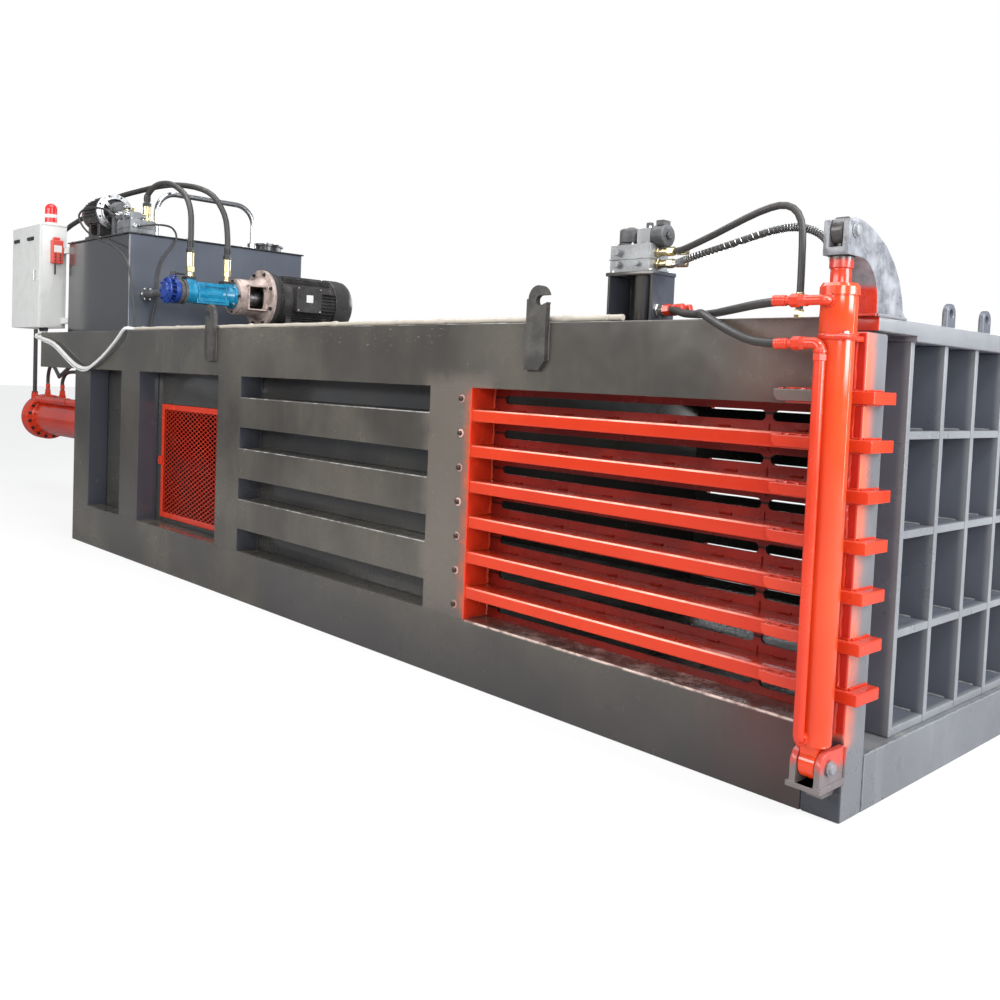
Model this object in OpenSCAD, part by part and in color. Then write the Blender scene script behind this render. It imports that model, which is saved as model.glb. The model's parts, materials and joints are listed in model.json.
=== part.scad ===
// Closed-gate horizontal baling press. Millimetres, +Z up.
// X runs along the press towards the gate, Y across it, the floor is Z = 0.
// The origin is on the floor, under the middle of the side walls.

/* [Body] */
// Length of the side walls
body_l = 6830; // [6000:10:8000]
// Width over the side walls
body_w = 1960; // [1800:10:2300]
// Height of the side walls
wall_h = 1700; // [1600:10:1900]
// Depth of the side walls
wall_t = 150; // [120:5:200]
// Height of the bottom beams
sill_h = 308; // [250:2:350]
// Height of the top beams
top_h = 299; // [250:1:340]
// How far the top beams run on under the tank
deck_over = 809; // [600:1:1000]
// Wall of the box-section beams
beam_wall = 12; // [6:1:20]
// Skin thickness
skin_t = 16; // [8:1:20]

/* [Wall stations] */
// Width of the rear post
post_1_w = 312; // [200:1:350]
// Rear end to the second post
post_2_at = 915; // [800:1:1000]
// Width of the second post
post_2_w = 318; // [200:1:350]
// Rear end to the third post
post_3_at = 2429; // [2380:1:2500]
// Width of the third post
post_3_w = 294; // [200:1:350]
// Width of the jamb
jamb_w = 309; // [200:1:350]
// Gate end to the chamber side of the jamb
bars_l = 1936; // [1700:1:2100]
// Gate end to the end of the liner
liner_back = 216; // [200:1:230]

/* [Chamber bars] */
// Height of one red cross bar
bar_h = 57; // [40:1:80]
// Spacing of the cross bars
bar_pitch = 167; // [140:1:190]
// Middle height of the lowest cross bar
bar_z0 = 437; // [400:1:460]
// Height of the strap slots
slot_h = 40; // [20:1:60]
// Thickness of the liner bars
liner_t = 14; // [8:1:20]

/* [Ribs] */
// Height of one channel rib
rib_h = 188; // [150:1:200]
// Spacing of the channel ribs
rib_pitch = 318; // [280:1:340]
// Underside height of the lowest rib
rib_z0 = 448; // [420:1:480]

/* [End posts] */
// Width of the end posts along the press
post_w = 150; // [120:5:200]
// Height of the end posts
post_h = 1648; // [1500:1:1700]
// Thickness of the finger plates
finger_t = 42; // [30:1:60]
// How far the fingers stand past the end posts
finger_out = 50; // [30:1:80]
// Height of the end sill
end_sill_h = 200; // [150:5:250]

/* [Gate] */
// Thickness of the gate plate
gate_t = 30; // [15:1:50]
// Depth of the gate ribs
gate_rib = 150; // [100:5:180]
// Spacing of the upright ribs
col_pitch = 287; // [250:1:320]
// Spacing of the shelf ribs
row_pitch = 362; // [330:1:380]
// Thickness of the gate ribs
gate_web = 30; // [15:1:40]
// Height of the top bar
top_bar_h = 69; // [50:1:90]

/* [Lift cylinders] */
// Lift barrel diameter
lift_d = 112; // [90:1:130]
// Lift rod diameter
lift_rod_d = 68; // [50:1:80]
// Distance from wall face to cylinder axis
lift_off = 105; // [95:1:130]
// Height of the foot pin
foot_pin_z = 222; // [200:1:250]
// Height of the arm pin with the gate down
arm_pin_z = 1963; // [1900:1:2000]
// Pin diameter
pin_d = 42; // [30:1:60]

/* [Main cylinder and ram] */
// Main barrel diameter
main_d = 385; // [340:1:420]
// Height of the main cylinder axis
main_z = 830; // [780:1:900]
// Length of the main cylinder behind the walls
main_back = 3570; // [3500:10:4600]
// Main rod diameter
main_rod_d = 220; // [150:1:260]
// Length of the ram head
ram_l = 760; // [500:10:1000]

/* [Mesh doors] */
// Width of the door opening
door_w = 1080; // [900:5:1120]
// Height of the door opening
door_h = 836; // [700:2:900]
// Underside height of the door opening
door_z0 = 338; // [320:1:360]

/* [Tank and pump set] */
// Tank length along the press
tank_l = 1268; // [1000:2:1300]
// Tank width across the press
tank_w = 1570; // [1300:10:1600]
// Tank height above the deck
tank_h = 796; // [600:2:900]
// Height of the pump shaft above the deck
shaft_h = 318; // [310:1:420]
// Motor frame diameter
motor_d = 380; // [300:2:390]

/* [Cabinet] */
// Cabinet width
cab_w = 696; // [600:2:800]
// Cabinet height
cab_h = 900; // [700:5:1000]
// Cabinet depth
cab_d = 232; // [200:2:300]

/* [Hidden] */
// which part to build

frame_c = [0.33, 0.32, 0.30];
red_c = [0.90, 0.22, 0.12];
gate_c = [0.62, 0.64, 0.67];
dark_c = [0.20, 0.20, 0.20];
steel_c = [0.75, 0.76, 0.78];
tank_c = [0.27, 0.29, 0.33];
blue_c = [0.05, 0.48, 0.66];

big = 20000;
xl = -body_l / 2;
xr = body_l / 2;
yo = body_w / 2;
yi = yo - wall_t;
ys = yi - skin_t;
top_z = wall_h - top_h;
open_h = top_z - sill_h;

// wall stations along X, measured from the left and the right end
p1_a = xl;
p1_b = xl + post_1_w;
p2_a = xl + post_2_at;
p2_b = p2_a + post_2_w;
p3_a = xl + post_3_at;
p3_b = p3_a + post_3_w;
jamb_b = xr - bars_l;
jamb_a = jamb_b - jamb_w;
post_a = xr - post_w;
liner_b = xr - liner_back;

// gate stations along X
gate_f = xr - 30;
gate_m = gate_f - gate_rib;
gate_b = gate_m - gate_t;
gate_z0 = end_sill_h + 1;
gate_top = gate_z0 + 4 * row_pitch + 57;
gate_half_w = yi - 4;
grid_half = 2 * col_pitch + gate_web / 2;
foot_z = post_h + 9;

// lift cylinder axis
lx = xr - 50;
ly = -yo - lift_off;

// door opening along X, with its running gap
gap = 3;
door_a = xl + 1300;
door_b = door_a + door_w;

// mesh door hinges: axis outside the frame, knuckles below and above each other
hinge_d = 18;
hinge_x = door_b - gap - 4;
hinge_y = -yi - 1 - hinge_d / 2 - 0.5;
hinge_zs = [door_z0 + 90, door_z0 + door_h - 190];

module slab(x0, x1, y0, y1, z0, z1)
  translate([x0, y0, z0])
  cube([x1 - x0, y1 - y0, z1 - z0]);

// closed box section, w is its wall
module tube(x0, x1, y0, y1, z0, z1, w)
  difference()
  {
    slab(x0, x1, y0, y1, z0, z1);
    slab(x0 + w, x1 - w, y0 + w, y1 - w, z0 + w, z1 - w);
  }

module both()
{
  children();
  mirror([0, 1, 0])
  children();
}

module rod_x(x0, x1, y, z, d)
  translate([x0, y, z])
  rotate([0, 90, 0])
  cylinder(h = x1 - x0, d = d, $fn = 48);

module rod_y(x, y0, y1, z, d)
  translate([x, y1, z])
  rotate([90, 0, 0])
  cylinder(h = y1 - y0, d = d, $fn = 48);

module rod_z(x, y, z0, z1, d)
  translate([x, y, z0])
  cylinder(h = z1 - z0, d = d, $fn = 48);

// frame

module bottom_beams()
  color(frame_c)
  both()
  tube(xl, post_a, -yo, -yi, 0, sill_h, beam_wall);

module top_beams()
  color(frame_c)
  both()
  tube(xl - deck_over, post_a, -yo, -yi, top_z, wall_h, beam_wall);

module side_posts()
  color(frame_c)
  both()
  {
    tube(p1_a, p1_b, -yo, -yi, sill_h, top_z, beam_wall);
    tube(p2_a, p2_b, -yo, -yi, sill_h, top_z, beam_wall);
    tube(p3_a, p3_b, -yo, -yi, sill_h, top_z, beam_wall);
  }

module jamb_plates()
  color(frame_c)
  both()
  tube(jamb_a, jamb_b, -yo, -yi, sill_h, top_z, beam_wall);

bolt_step = 163;
bolt_x = jamb_a + 243;
module jamb_bolts()
  color(dark_c)
  both()
  for (i = [0:6])
    translate([bolt_x, -yo, sill_h + 62 + i * bolt_step])
    rotate([90, 0, 0])
    {
      cylinder(h = 4, d = 34, $fn = 24);
      cylinder(h = 16, d = 27, $fn = 6);
    }

module side_ribs()
  color(frame_c)
  both()
  for (i = [0:2])
    tube(p3_b, jamb_a, -yo, -yi, rib_z0 + i * rib_pitch, rib_z0 + i * rib_pitch + rib_h, beam_wall);

module side_skins()
  color(frame_c)
  both()
  {
    slab(p1_a, door_a - 2, -yi, -ys, sill_h, top_z);
    slab(door_a, door_b, -yi, -ys, sill_h, door_z0);
    slab(door_a, door_b, -yi, -ys, door_z0 + door_h, top_z);
    slab(door_b + 2, jamb_b - 1, -yi, -ys, sill_h, top_z);
    for (z = hinge_zs)
    {
      rod_z(hinge_x, hinge_y, z - 30, z, hinge_d);
      slab(hinge_x, door_b + 34, -yi - 9, -yi - 3, z - 30, z);
      slab(door_b + 3, door_b + 34, -yi - 4, -yi + 1, z - 30, z);
    }
  }

module cross_bars()
  color(red_c)
  both()
  for (i = [0:5])
    tube(jamb_b, post_a, -yo + 2, -yi, bar_z0 + i * bar_pitch - bar_h / 2,
      bar_z0 + i * bar_pitch + bar_h / 2, 10);

// liner bars lie behind the cross bars and leave a strap slot in each gap
gap_low = (sill_h + bar_z0 - bar_h / 2) / 2;
gap_high = (top_z + bar_z0 + 5 * bar_pitch + bar_h / 2) / 2;
function slot_mid(i) = i == 0 ? gap_low : i == 6 ? gap_high : bar_z0 + (i - 0.5) * bar_pitch;
function liner_low(i) = i == 0 ? sill_h : slot_mid(i - 1) + slot_h / 2;
function liner_high(i) = i == 7 ? top_z : slot_mid(i) - slot_h / 2;
module liner_bar(i)
  slab(jamb_b, liner_b, -yi, -yi + liner_t, liner_low(i), liner_high(i));

module liner_bars()
  color(red_c)
  both()
  {
    for (i = [0:7])
      liner_bar(i);
    slot_webs();
  }

// short webs close the slots at the jamb and before the end post
web_w = 75;
web_x = xr - 457;
module slot_webs()
  for (i = [0:6])
    for (x = [[jamb_b, jamb_b + web_w], [web_x, web_x + 30]])
      slab(x[0], x[1], -yi, -yi + liner_t, slot_mid(i) - slot_h / 2, slot_mid(i) + slot_h / 2);

module end_posts()
  color(gate_c)
  both()
  tube(post_a, xr, -yo, -yi, 0, post_h, beam_wall);

finger_front = 28;
finger_long = 373;
finger_wrap = 130;
module finger(z)
{
  slab(xr + finger_out - finger_long, xr + finger_out, -yo - finger_front, -yo, z - finger_t / 2, z + finger_t / 2);
  slab(xr, xr + finger_out, -yo - finger_front, -yo + finger_wrap, z - finger_t / 2, z + finger_t / 2);
}

module post_fingers()
  color(red_c)
  both()
  {
    for (i = [0:5])
      finger(bar_z0 + i * bar_pitch);
    finger(top_z + 30);
  }

module end_sill()
  color(frame_c)
  tube(post_a, xr, -yi, yi, 0, end_sill_h, beam_wall);

bearer_w = 160;
module floor_frame()
  color(frame_c)
  {
    slab(xl, gate_b - 6, -yi, yi, sill_h - 20, sill_h);
    for (x = [xl + bearer_w / 2, xl * 0.5, 0, xr * 0.5, gate_b - 6 - bearer_w / 2])
      tube(x - bearer_w / 2, x + bearer_w / 2, -yi, yi, 0, sill_h - 20, beam_wall);
  }

feed_a = p3_a + 120;
feed_b = jamb_a + 60;
feed_edge = 130;
feed_half = yi - feed_edge;
module roof_plates()
  color(frame_c)
  difference()
  {
    slab(p1_a, gate_b - 6, -yi, yi, top_z, top_z + 24);
    slab(feed_a, feed_b, -feed_half, feed_half, top_z - 1, top_z + 25);
  }

module rear_frame()
  color(frame_c)
  difference()
  {
    slab(xl, xl + 60, -ys, ys, sill_h, top_z);
    rod_x(xl - 1, xl + 61, 0, main_z, main_d + 1);
  }

deck_t = 20;
deck_past = 252;
deck_leg = 90;
module tank_deck()
  color(frame_c)
  {
    slab(xl - deck_over, p2_b + deck_past, -yi, yi, wall_h - deck_t, wall_h);
    slab(xl - deck_over, xl - deck_over + deck_leg, -yi, yi, top_z + 60, wall_h - deck_t + 1);
    slab(p2_b + deck_past - deck_leg, p2_b + deck_past, -yi, yi, top_z + 60, wall_h - deck_t + 1);
  }

hook_t = 25;
hook_z = wall_h - 208;
hook_1_at = 2400;
hook_2_at = 5260;
module hook_shape()
{
  difference()
  {
    union()
    {
      polygon([[0, 0], [85, 0], [120, 40], [120, 330], [0, 330]]);
      translate([68, 308])
      circle(d = 116, $fn = 40);
    }
    translate([80, 300])
    circle(d = 46, $fn = 32);
    translate([80, 277])
    square([60, 46]);
  }
}

module hook(x, flip)
  translate([x, -yo, hook_z])
  mirror([flip, 0, 0])
  rotate([90, 0, 0])
  linear_extrude(height = hook_t)
  hook_shape();

module lifting_hooks()
  color(frame_c)
  both()
  {
    hook(xl + hook_1_at, 1);
    hook(xl + hook_2_at, 0);
  }

// gate

module gate_plate()
  color(gate_c)
  slab(gate_b, gate_m, -gate_half_w, gate_half_w, gate_z0, gate_top);

module gate_uprights()
  color(gate_c)
  for (i = [-2:2])
    slab(gate_m, gate_f, i * col_pitch - gate_web / 2, i * col_pitch + gate_web / 2, gate_z0, gate_top - top_bar_h);

module gate_shelves()
  color(gate_c)
  for (i = [-2:1])
    for (j = [0:3])
      slab(gate_m, gate_f - 2, i * col_pitch + gate_web / 2, (i + 1) * col_pitch - gate_web / 2,
        gate_z0 + j * row_pitch, gate_z0 + j * row_pitch + gate_web);

lug_y = 175;
module lug()
  translate([gate_f - 60, 0, gate_top])
  rotate([90, 0, 90])
  linear_extrude(height = 22)
  difference()
  {
    union()
    {
      translate([-40, 0])
      square([80, 62]);
      translate([0, 62])
      circle(d = 80, $fn = 40);
    }
    translate([0, 62])
    circle(d = 36, $fn = 40);
  }

top_bar_half = yo - 93;
module gate_top_bar()
  color(gate_c)
  {
    slab(gate_m, xr - 8, -grid_half, grid_half, gate_top - top_bar_h, gate_top);
    slab(xr - 145, xr - 8, -top_bar_half, top_bar_half, foot_z, gate_top);
    both()
    translate([0, -lug_y, 0])
    lug();
  }

// lift arm: side profile in Y and Z, pin centre at 0, 0
arm_z = arm_pin_z - foot_z;
arm_w = 88;
arm_gap = 46;
arm_seat = gate_top - arm_pin_z;
module arm_side()
  polygon([
    [-44, 32], [0, 42], [70, 34], [140, 12], [214, -22], [276, -70], [322, -126], [350, -184], [364, -232],
    [392, arm_seat], [172, arm_seat], [168, -196], [156, -152], [138, -124], [112, -100], [84, -86],
    [50, -80], [-44, -80]
  ]);

module lift_arm()
{
  difference()
  {
    translate([lx - arm_w / 2, ly, arm_pin_z])
    rotate([90, 0, 90])
    linear_extrude(height = arm_w)
    arm_side();
    slab(lx - arm_gap / 2, lx + arm_gap / 2, ly - 50, ly + 62, arm_pin_z - 54, arm_pin_z + 60);
    rod_z(lx, ly, arm_pin_z - 90, arm_pin_z - 50, lift_rod_d + 12);
    rod_x(lx - 60, lx + 60, ly, arm_pin_z, pin_d + 0.1);
  }
  rod_x(lx - arm_w / 2 - 5, lx + arm_w / 2 + 5, ly, arm_pin_z, pin_d);
}

module lift_arms()
  color(gate_c)
  both()
  lift_arm();

block_d = 76;
module lift_rod()
{
  difference()
  {
    union()
    {
      rod_x(lx - 20, lx + 20, ly, arm_pin_z, 92);
      rod_z(lx, ly, arm_pin_z - 82, arm_pin_z - 36, 40);
    }
    rod_x(lx - 60, lx + 60, ly, arm_pin_z, pin_d + 0.1);
  }
  rod_z(lx, ly, arm_pin_z - 120, arm_pin_z - 82, block_d);
  rod_z(lx, ly, foot_pin_z + 260, arm_pin_z - 119, lift_rod_d);
}

module lift_rods()
  color(steel_c)
  both()
  lift_rod();

// lift cylinders

barrel_z0 = foot_pin_z + 66;
head_z = 1632;
head_top = 1795;
module lift_barrel()
  difference()
  {
    union()
    {
      rod_z(lx, ly, barrel_z0, head_z, lift_d);
      rod_z(lx, ly, head_z, head_top - 37, lift_d + 8);
      rod_z(lx, ly, head_top - 37, head_top, lift_d + 16);
      rod_x(lx - 30, lx + 30, ly, foot_pin_z, 100);
      slab(lx - 30, lx + 30, ly - 36, ly + 36, foot_pin_z, barrel_z0);
    }
    rod_z(lx, ly, barrel_z0 + 30, head_top + 1, lift_rod_d + 0.1);
    rod_x(lx - 60, lx + 60, ly, foot_pin_z, pin_d + 0.1);
  }

module lift_barrels()
  color(red_c)
  both()
  lift_barrel();

ear_t = 22;
ear_gap = 66;
module ear_side()
  difference()
  {
    union()
    {
      circle(d = 108, $fn = 48);
      polygon([[-54, -62], [lift_off, -62], [lift_off, 50], [20, 50], [-54, 0]]);
    }
    circle(d = pin_d + 0.1, $fn = 48);
  }

module ear(x)
  translate([x, ly, foot_pin_z])
  rotate([90, 0, 90])
  linear_extrude(height = ear_t)
  ear_side();

module foot_clevis()
{
  ear(lx - ear_gap / 2 - ear_t);
  ear(lx + ear_gap / 2);
  slab(lx - 67, lx + 60, -yo - 162, -yo, foot_pin_z - 80, foot_pin_z - 62);
  slab(lx - 35, lx + 25, -yo - 80, -yo, foot_pin_z - 122, foot_pin_z - 80);
  rod_x(lx - 66, lx + 62, ly, foot_pin_z, pin_d);
}

module foot_clevises()
  color(frame_c)
  both()
  foot_clevis();

clamp_z = 1613;
module barrel_clamp()
  difference()
  {
    union()
    {
      rod_z(lx, ly, clamp_z, clamp_z + 18, lift_d + 14);
      slab(lx - 20, lx + 40, ly, -yo, clamp_z, clamp_z + 18);
      slab(lx + 8, lx + 76, ly - 60, ly - 30, clamp_z, clamp_z + 18);
    }
    rod_z(lx, ly, clamp_z - 1, clamp_z + 19, lift_d);
  }

module barrel_clamps()
  color(red_c)
  both()
  barrel_clamp();

elbow_z = 1600;
pipe_x = lx - 14;
pipe_y = ly - 80;
pipe_z0 = foot_pin_z + 92;
module side_pipe()
{
  rod_z(pipe_x, pipe_y, pipe_z0, elbow_z, 38);
  rod_z(pipe_x, pipe_y, elbow_z - 57, elbow_z - 20, 46);
  translate([pipe_x, pipe_y, elbow_z])
  sphere(d = 38, $fn = 32);
  rod_x(pipe_x - 62, pipe_x, pipe_y, elbow_z, 36);
  rod_x(pipe_x - 70, pipe_x - 52, pipe_y, elbow_z, 46);
  translate([pipe_x, pipe_y, pipe_z0])
  sphere(d = 50, $fn = 32);
  rod_y(pipe_x, pipe_y, ly - lift_d / 2 + 6, pipe_z0, 34);
}

port_z = head_top - 58;
module upper_port()
{
  translate([lx - 4, ly - 84, port_z])
  sphere(d = 44, $fn = 32);
  rod_y(lx - 4, ly - 84, ly - 54, port_z, 34);
  rod_x(lx - 78, lx - 4, ly - 84, port_z, 28);
  rod_x(lx - 96, lx - 66, ly - 84, port_z, 42);
}

module side_pipes()
  color(red_c)
  both()
  difference()
  {
    union()
    {
      side_pipe();
      upper_port();
    }
    rod_z(lx, ly, barrel_z0 - 1, head_z, lift_d);
    rod_z(lx, ly, head_z, head_top, lift_d + 8);
  }

// main cylinder and ram

main_x0 = xl - main_back;
main_x1 = xl + 2270;
ram_x0 = main_x1 + 125;
main_bore = main_d - 75;
flange_d = main_d + 115;
port_end_z = main_z + flange_d / 2 + 30;
line_y = -134;
piston_x = main_x0 + 400;
module main_barrel()
  color(red_c)
  difference()
  {
    union()
    {
      rod_x(main_x0, main_x1, 0, main_z, main_d);
      rod_x(main_x0, main_x0 + 200, 0, main_z, flange_d);
      rod_x(main_x1 - 120, main_x1, 0, main_z, main_d + 70);
      slab(main_x1 - 90, main_x1 - 10, -160, 160, sill_h, main_z);
      rod_z(main_x0 + 90, line_y, main_z + 170, port_end_z, 60);
      rod_z(main_x0 + 110, 0, main_z + 170, port_end_z, 60);
      rod_z(main_x0 + 555, 0, main_z + 170, port_end_z, 60);
      rod_x(main_x0 + 190, xl - deck_over - 200, line_y, main_z + 198, 76);
      rod_z(xl - deck_over - 238, line_y, main_z + 100, main_z + 198, 76);
    }
    rod_x(main_x0 + 150, main_x1 - 140, 0, main_z, main_bore);
    rod_x(main_x1 - 141, main_x1 + 1, 0, main_z, main_rod_d + 0.1);
  }

module main_rod()
  color(steel_c)
  {
    rod_x(piston_x + 160, ram_x0, 0, main_z, main_rod_d);
    rod_x(piston_x, piston_x + 161, 0, main_z, main_bore - 0.1);
  }

module ram_head()
  color(frame_c)
  {
    slab(ram_x0 + ram_l - 50, ram_x0 + ram_l, 12 - ys, ys - 12, sill_h + 0.2, top_z - 8);
    slab(ram_x0, ram_x0 + 30, 12 - ys, ys - 12, sill_h + 0.2, top_z - 8);
    for (y = [60 - ys, -130, 110, ys - 80])
      slab(ram_x0 + 29, ram_x0 + ram_l - 49, y, y + 20, sill_h + 40, top_z - 40);
    slab(ram_x0 + 29, ram_x0 + ram_l - 49, 60 - ys, ys - 60, top_z - 60, top_z - 40);
  }

// mesh doors

frame_w = 42;
mesh_x = 84;
mesh_z = 46;
module mesh_panel(w, h)
  difference()
  {
    square([w, h]);
    for (i = [0:floor(w / mesh_x) - 1])
      for (j = [0:floor(h / mesh_z) - 1])
        translate([(i + 0.5 + 0.5 * (j % 2)) * mesh_x, (j + 0.75) * mesh_z])
        polygon([[-37, 0], [0, -19], [37, 0], [0, 19]]);
  }

module mesh_door()
{
  difference()
  {
    slab(door_a + gap, door_b - gap, -yi - 1, -yi + 34, door_z0 + gap, door_z0 + door_h - gap);
    slab(door_a + frame_w, door_b - frame_w, -yi - 2, -yi + 35, door_z0 + frame_w, door_z0 + door_h - frame_w);
    slab(door_a + gap + 5, door_b - gap - 5, -yi + 5, -yi + 35, door_z0 + gap + 5, door_z0 + door_h - gap - 5);
  }
  translate([door_a + gap + 5, -yi + 8, door_z0 + gap + 5])
  rotate([90, 0, 0])
  linear_extrude(height = 4)
  mesh_panel(door_w - 2 * gap - 10, door_h - 2 * gap - 10);
  slab(door_a - 26, door_a + 30, -yi - 9, -yi - 1, door_z0 + door_h / 2 - 30, door_z0 + door_h / 2 + 30);
  for (z = hinge_zs)
  {
    rod_z(hinge_x, hinge_y, z, z + 100, hinge_d);
    slab(hinge_x - 44, hinge_x, -yi - 9, -yi - 0.5, z, z + 100);
  }
}

module near_mesh_door()
  color(red_c)
  mesh_door();

module far_mesh_door()
  color(red_c)
  mirror([0, 1, 0])
  mesh_door();

// tank and pump set

tank_x0 = xl - deck_over + 79;
tank_x1 = tank_x0 + tank_l;
tank_top = wall_h + tank_h;
module oil_tank()
  color(tank_c)
  {
    tube(tank_x0, tank_x1, -tank_w / 2, tank_w / 2, wall_h, tank_top - 10, 6);
    slab(tank_x0 - 12, tank_x1 + 12, -tank_w / 2 - 12, tank_w / 2 + 12, tank_top - 11, tank_top);
    rod_z(tank_x1 - 203, tank_w / 2 - 255, tank_top - 1, tank_top + 60, 270);
    rod_z(tank_x1 - 203, tank_w / 2 - 255, tank_top + 48, tank_top + 66, 310);
  }

pump_x = tank_x1 + 592;
port_far_y = -254;
port_near_y = -560;
valve_y = -692;
shaft_z = wall_h + shaft_h;
bell_a = -200;
bell_b = 60;
motor_b = 660;
fin_n = 28;
fin_r = motor_d / 2 + 14;
rail_under = 240;
module pump_motor()
  color(dark_c)
  {
    rod_y(pump_x, bell_b + 24, motor_b, shaft_z, motor_d);
    for (i = [0:fin_n - 1])
      translate([pump_x, bell_b + 60, shaft_z])
      rotate([0, i * 360 / fin_n, 0])
      translate([motor_d / 2 - 6, 0, -3])
      cube([20, motor_b - bell_b - 90, 6]);
    rod_y(pump_x, bell_b, bell_b + 35, shaft_z, motor_d + 80);
    rod_y(pump_x, motor_b - 30, 815, shaft_z, motor_d + 40);
    slab(pump_x + 40, pump_x + 250, 235, 460, shaft_z - 90, shaft_z + 112);
    slab(pump_x - 170, pump_x + 170, 180, 250, shaft_z - rail_under, shaft_z - 90);
    slab(pump_x - 170, pump_x + 170, 520, 590, shaft_z - rail_under, shaft_z - 90);
  }

module motor_base()
  color(frame_c)
  {
    slab(pump_x - 190, pump_x - 70, -15, 740, wall_h, shaft_z - rail_under);
    slab(pump_x + 70, pump_x + 190, -15, 740, wall_h, shaft_z - rail_under);
  }

module bell_housing()
  color([0.66, 0.60, 0.56])
  difference()
  {
    union()
    {
      rod_y(pump_x, bell_b - 30, bell_b, shaft_z, motor_d + 80);
      rod_y(pump_x, bell_a + 25, bell_b - 29, shaft_z, 286);
      rod_y(pump_x, bell_a, bell_a + 26, shaft_z, 276);
    }
    rod_y(pump_x, bell_a + 30, bell_b + 1, shaft_z, 236);
    rod_y(pump_x, bell_a - 1, bell_a + 31, shaft_z, 90);
    slab(pump_x - 200, pump_x + 200, -130, 10, shaft_z - 92, shaft_z + 82);
  }

module shaft_coupling()
  color(steel_c)
  {
    rod_y(pump_x, -110, bell_b, shaft_z, 120);
    rod_y(pump_x, bell_a, -109, shaft_z, 48);
  }

module double_pump()
  color(blue_c)
  {
    rod_y(pump_x, bell_a - 20, bell_a, shaft_z, 200);
    rod_y(pump_x, -604, bell_a - 19, shaft_z, 156);
    slab(pump_x - 72, pump_x + 72, -538, bell_a - 40, shaft_z - 84, shaft_z + 84);
    slab(pump_x - 45, pump_x + 45, port_near_y - 42, port_near_y + 30, shaft_z, shaft_z + 120);
    slab(pump_x - 45, pump_x + 45, port_far_y - 45, port_far_y + 30, shaft_z, shaft_z + 112);
    rod_z(pump_x, port_far_y, shaft_z + 111, shaft_z + 283, 52);
    rod_z(pump_x, port_near_y, shaft_z + 119, shaft_z + 303, 52);
  }

module suction_valve()
  color([0.05, 0.20, 0.55])
  {
    rod_y(pump_x, -665, -604, shaft_z, 186);
    rod_y(pump_x, -700, -664, shaft_z, 190);
    rod_y(pump_x, -736, -699, shaft_z, 130);
    rod_y(pump_x, -752, -735, shaft_z, 200);
    rod_y(pump_x, -764, -751, shaft_z, 110);
    rod_z(pump_x, valve_y, shaft_z, shaft_z + 118, 40);
    rod_x(tank_x1, pump_x, -634, shaft_z, 60);
    rod_x(tank_x1, tank_x1 + 20, -634, shaft_z, 110);
  }

module valve_lever()
  color([0.05, 0.20, 0.55])
  {
    rod_z(pump_x, valve_y, shaft_z + 118, shaft_z + 146, 44);
    slab(pump_x - 10, pump_x + 10, valve_y, valve_y + 92, shaft_z + 126, shaft_z + 138);
  }

tm_y = -680;
tm_z = tank_top + 217;
valves_x = tank_x1 - 300;
valves_clear = 108;
tm_x1 = valves_x - valves_clear;
tm_x0 = tm_x1 - 570;
module tank_motor()
  color(dark_c)
  {
    rod_x(tm_x0, tm_x0 + 400, tm_y, tm_z, 236);
    for (i = [0:23])
      translate([tm_x0 + 80, tm_y, tm_z])
      rotate([i * 15, 0, 0])
      translate([0, 112, -3])
      cube([250, 20, 6]);
    rod_x(tm_x0 + 400, tm_x0 + 428, tm_y, tm_z, 300);
    rod_x(tm_x0 + 427, tm_x1, tm_y, tm_z, 150);
    slab(tm_x0 + 70, tm_x0 + 350, tm_y - 110, tm_y + 110, tank_top, tm_z - 90);
    slab(tm_x1 - 60, tm_x1 - 10, tm_y - 60, tm_y + 60, tank_top, tm_z);
  }

module tank_valves()
  color([0.35, 0.36, 0.38])
  {
    slab(valves_x, tank_x1 - 40, -760, -558, tank_top, tank_top + 110);
    slab(valves_x + 10, valves_x + 110, -750, -670, tank_top + 109, tank_top + 190);
    slab(tank_x1 - 150, tank_x1 - 60, -750, -670, tank_top + 109, tank_top + 170);
    rod_y(tank_x1 - 240, -800, -670, tank_top + 150, 62);
    rod_y(tank_x1 - 105, -790, -670, tank_top + 142, 58);
    rod_z(tank_x1 - 110, -600, tank_top + 109, tank_top + 230, 60);
  }

// cabinet

cab_x1 = tank_x0 - 162;
cab_x0 = cab_x1 - cab_w;
cab_y0 = -yo;
cab_y1 = cab_y0 + cab_d;
cab_z0 = wall_h + 50;
cab_z1 = cab_z0 + cab_h;
door_t = 22;
bracket_w = 37;
knuckle_d = 14;
knuckle_x = cab_x0 - knuckle_d / 2 - 1;
knuckle_y = cab_y0 + door_t / 2;
knuckle_zs = [cab_z0 + 120, cab_z1 - 160];
module control_cabinet()
  color([0.80, 0.80, 0.78])
  {
    difference()
    {
      slab(cab_x0, cab_x1, cab_y0 + door_t, cab_y1, cab_z0, cab_z1);
      slab(cab_x0 + 3, cab_x1 - 3, cab_y0 + door_t - 1, cab_y1 - 3, cab_z0 + 3, cab_z1 - 3);
    }
    slab(cab_x0 + 60, cab_x1 - 60, cab_y1 - 20, cab_y1 - 2, cab_z0 + 80, cab_z1 - 80);
    for (z = [cab_z0 + 40, cab_z1 - 240])
      slab(cab_x1 - 1, tank_x0, cab_y1 - bracket_w, max(cab_y1, bracket_w - tank_w / 2), z, z + 50);
    for (z = knuckle_zs)
    {
      rod_z(knuckle_x, knuckle_y, z - 40, z, knuckle_d);
      slab(knuckle_x - 2, knuckle_x + 2, knuckle_y, cab_y0 + door_t + 30, z - 40, z);
      slab(knuckle_x - 2, cab_x0 + 1, cab_y0 + door_t + 20, cab_y0 + door_t + 30, z - 40, z);
    }
  }

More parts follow.
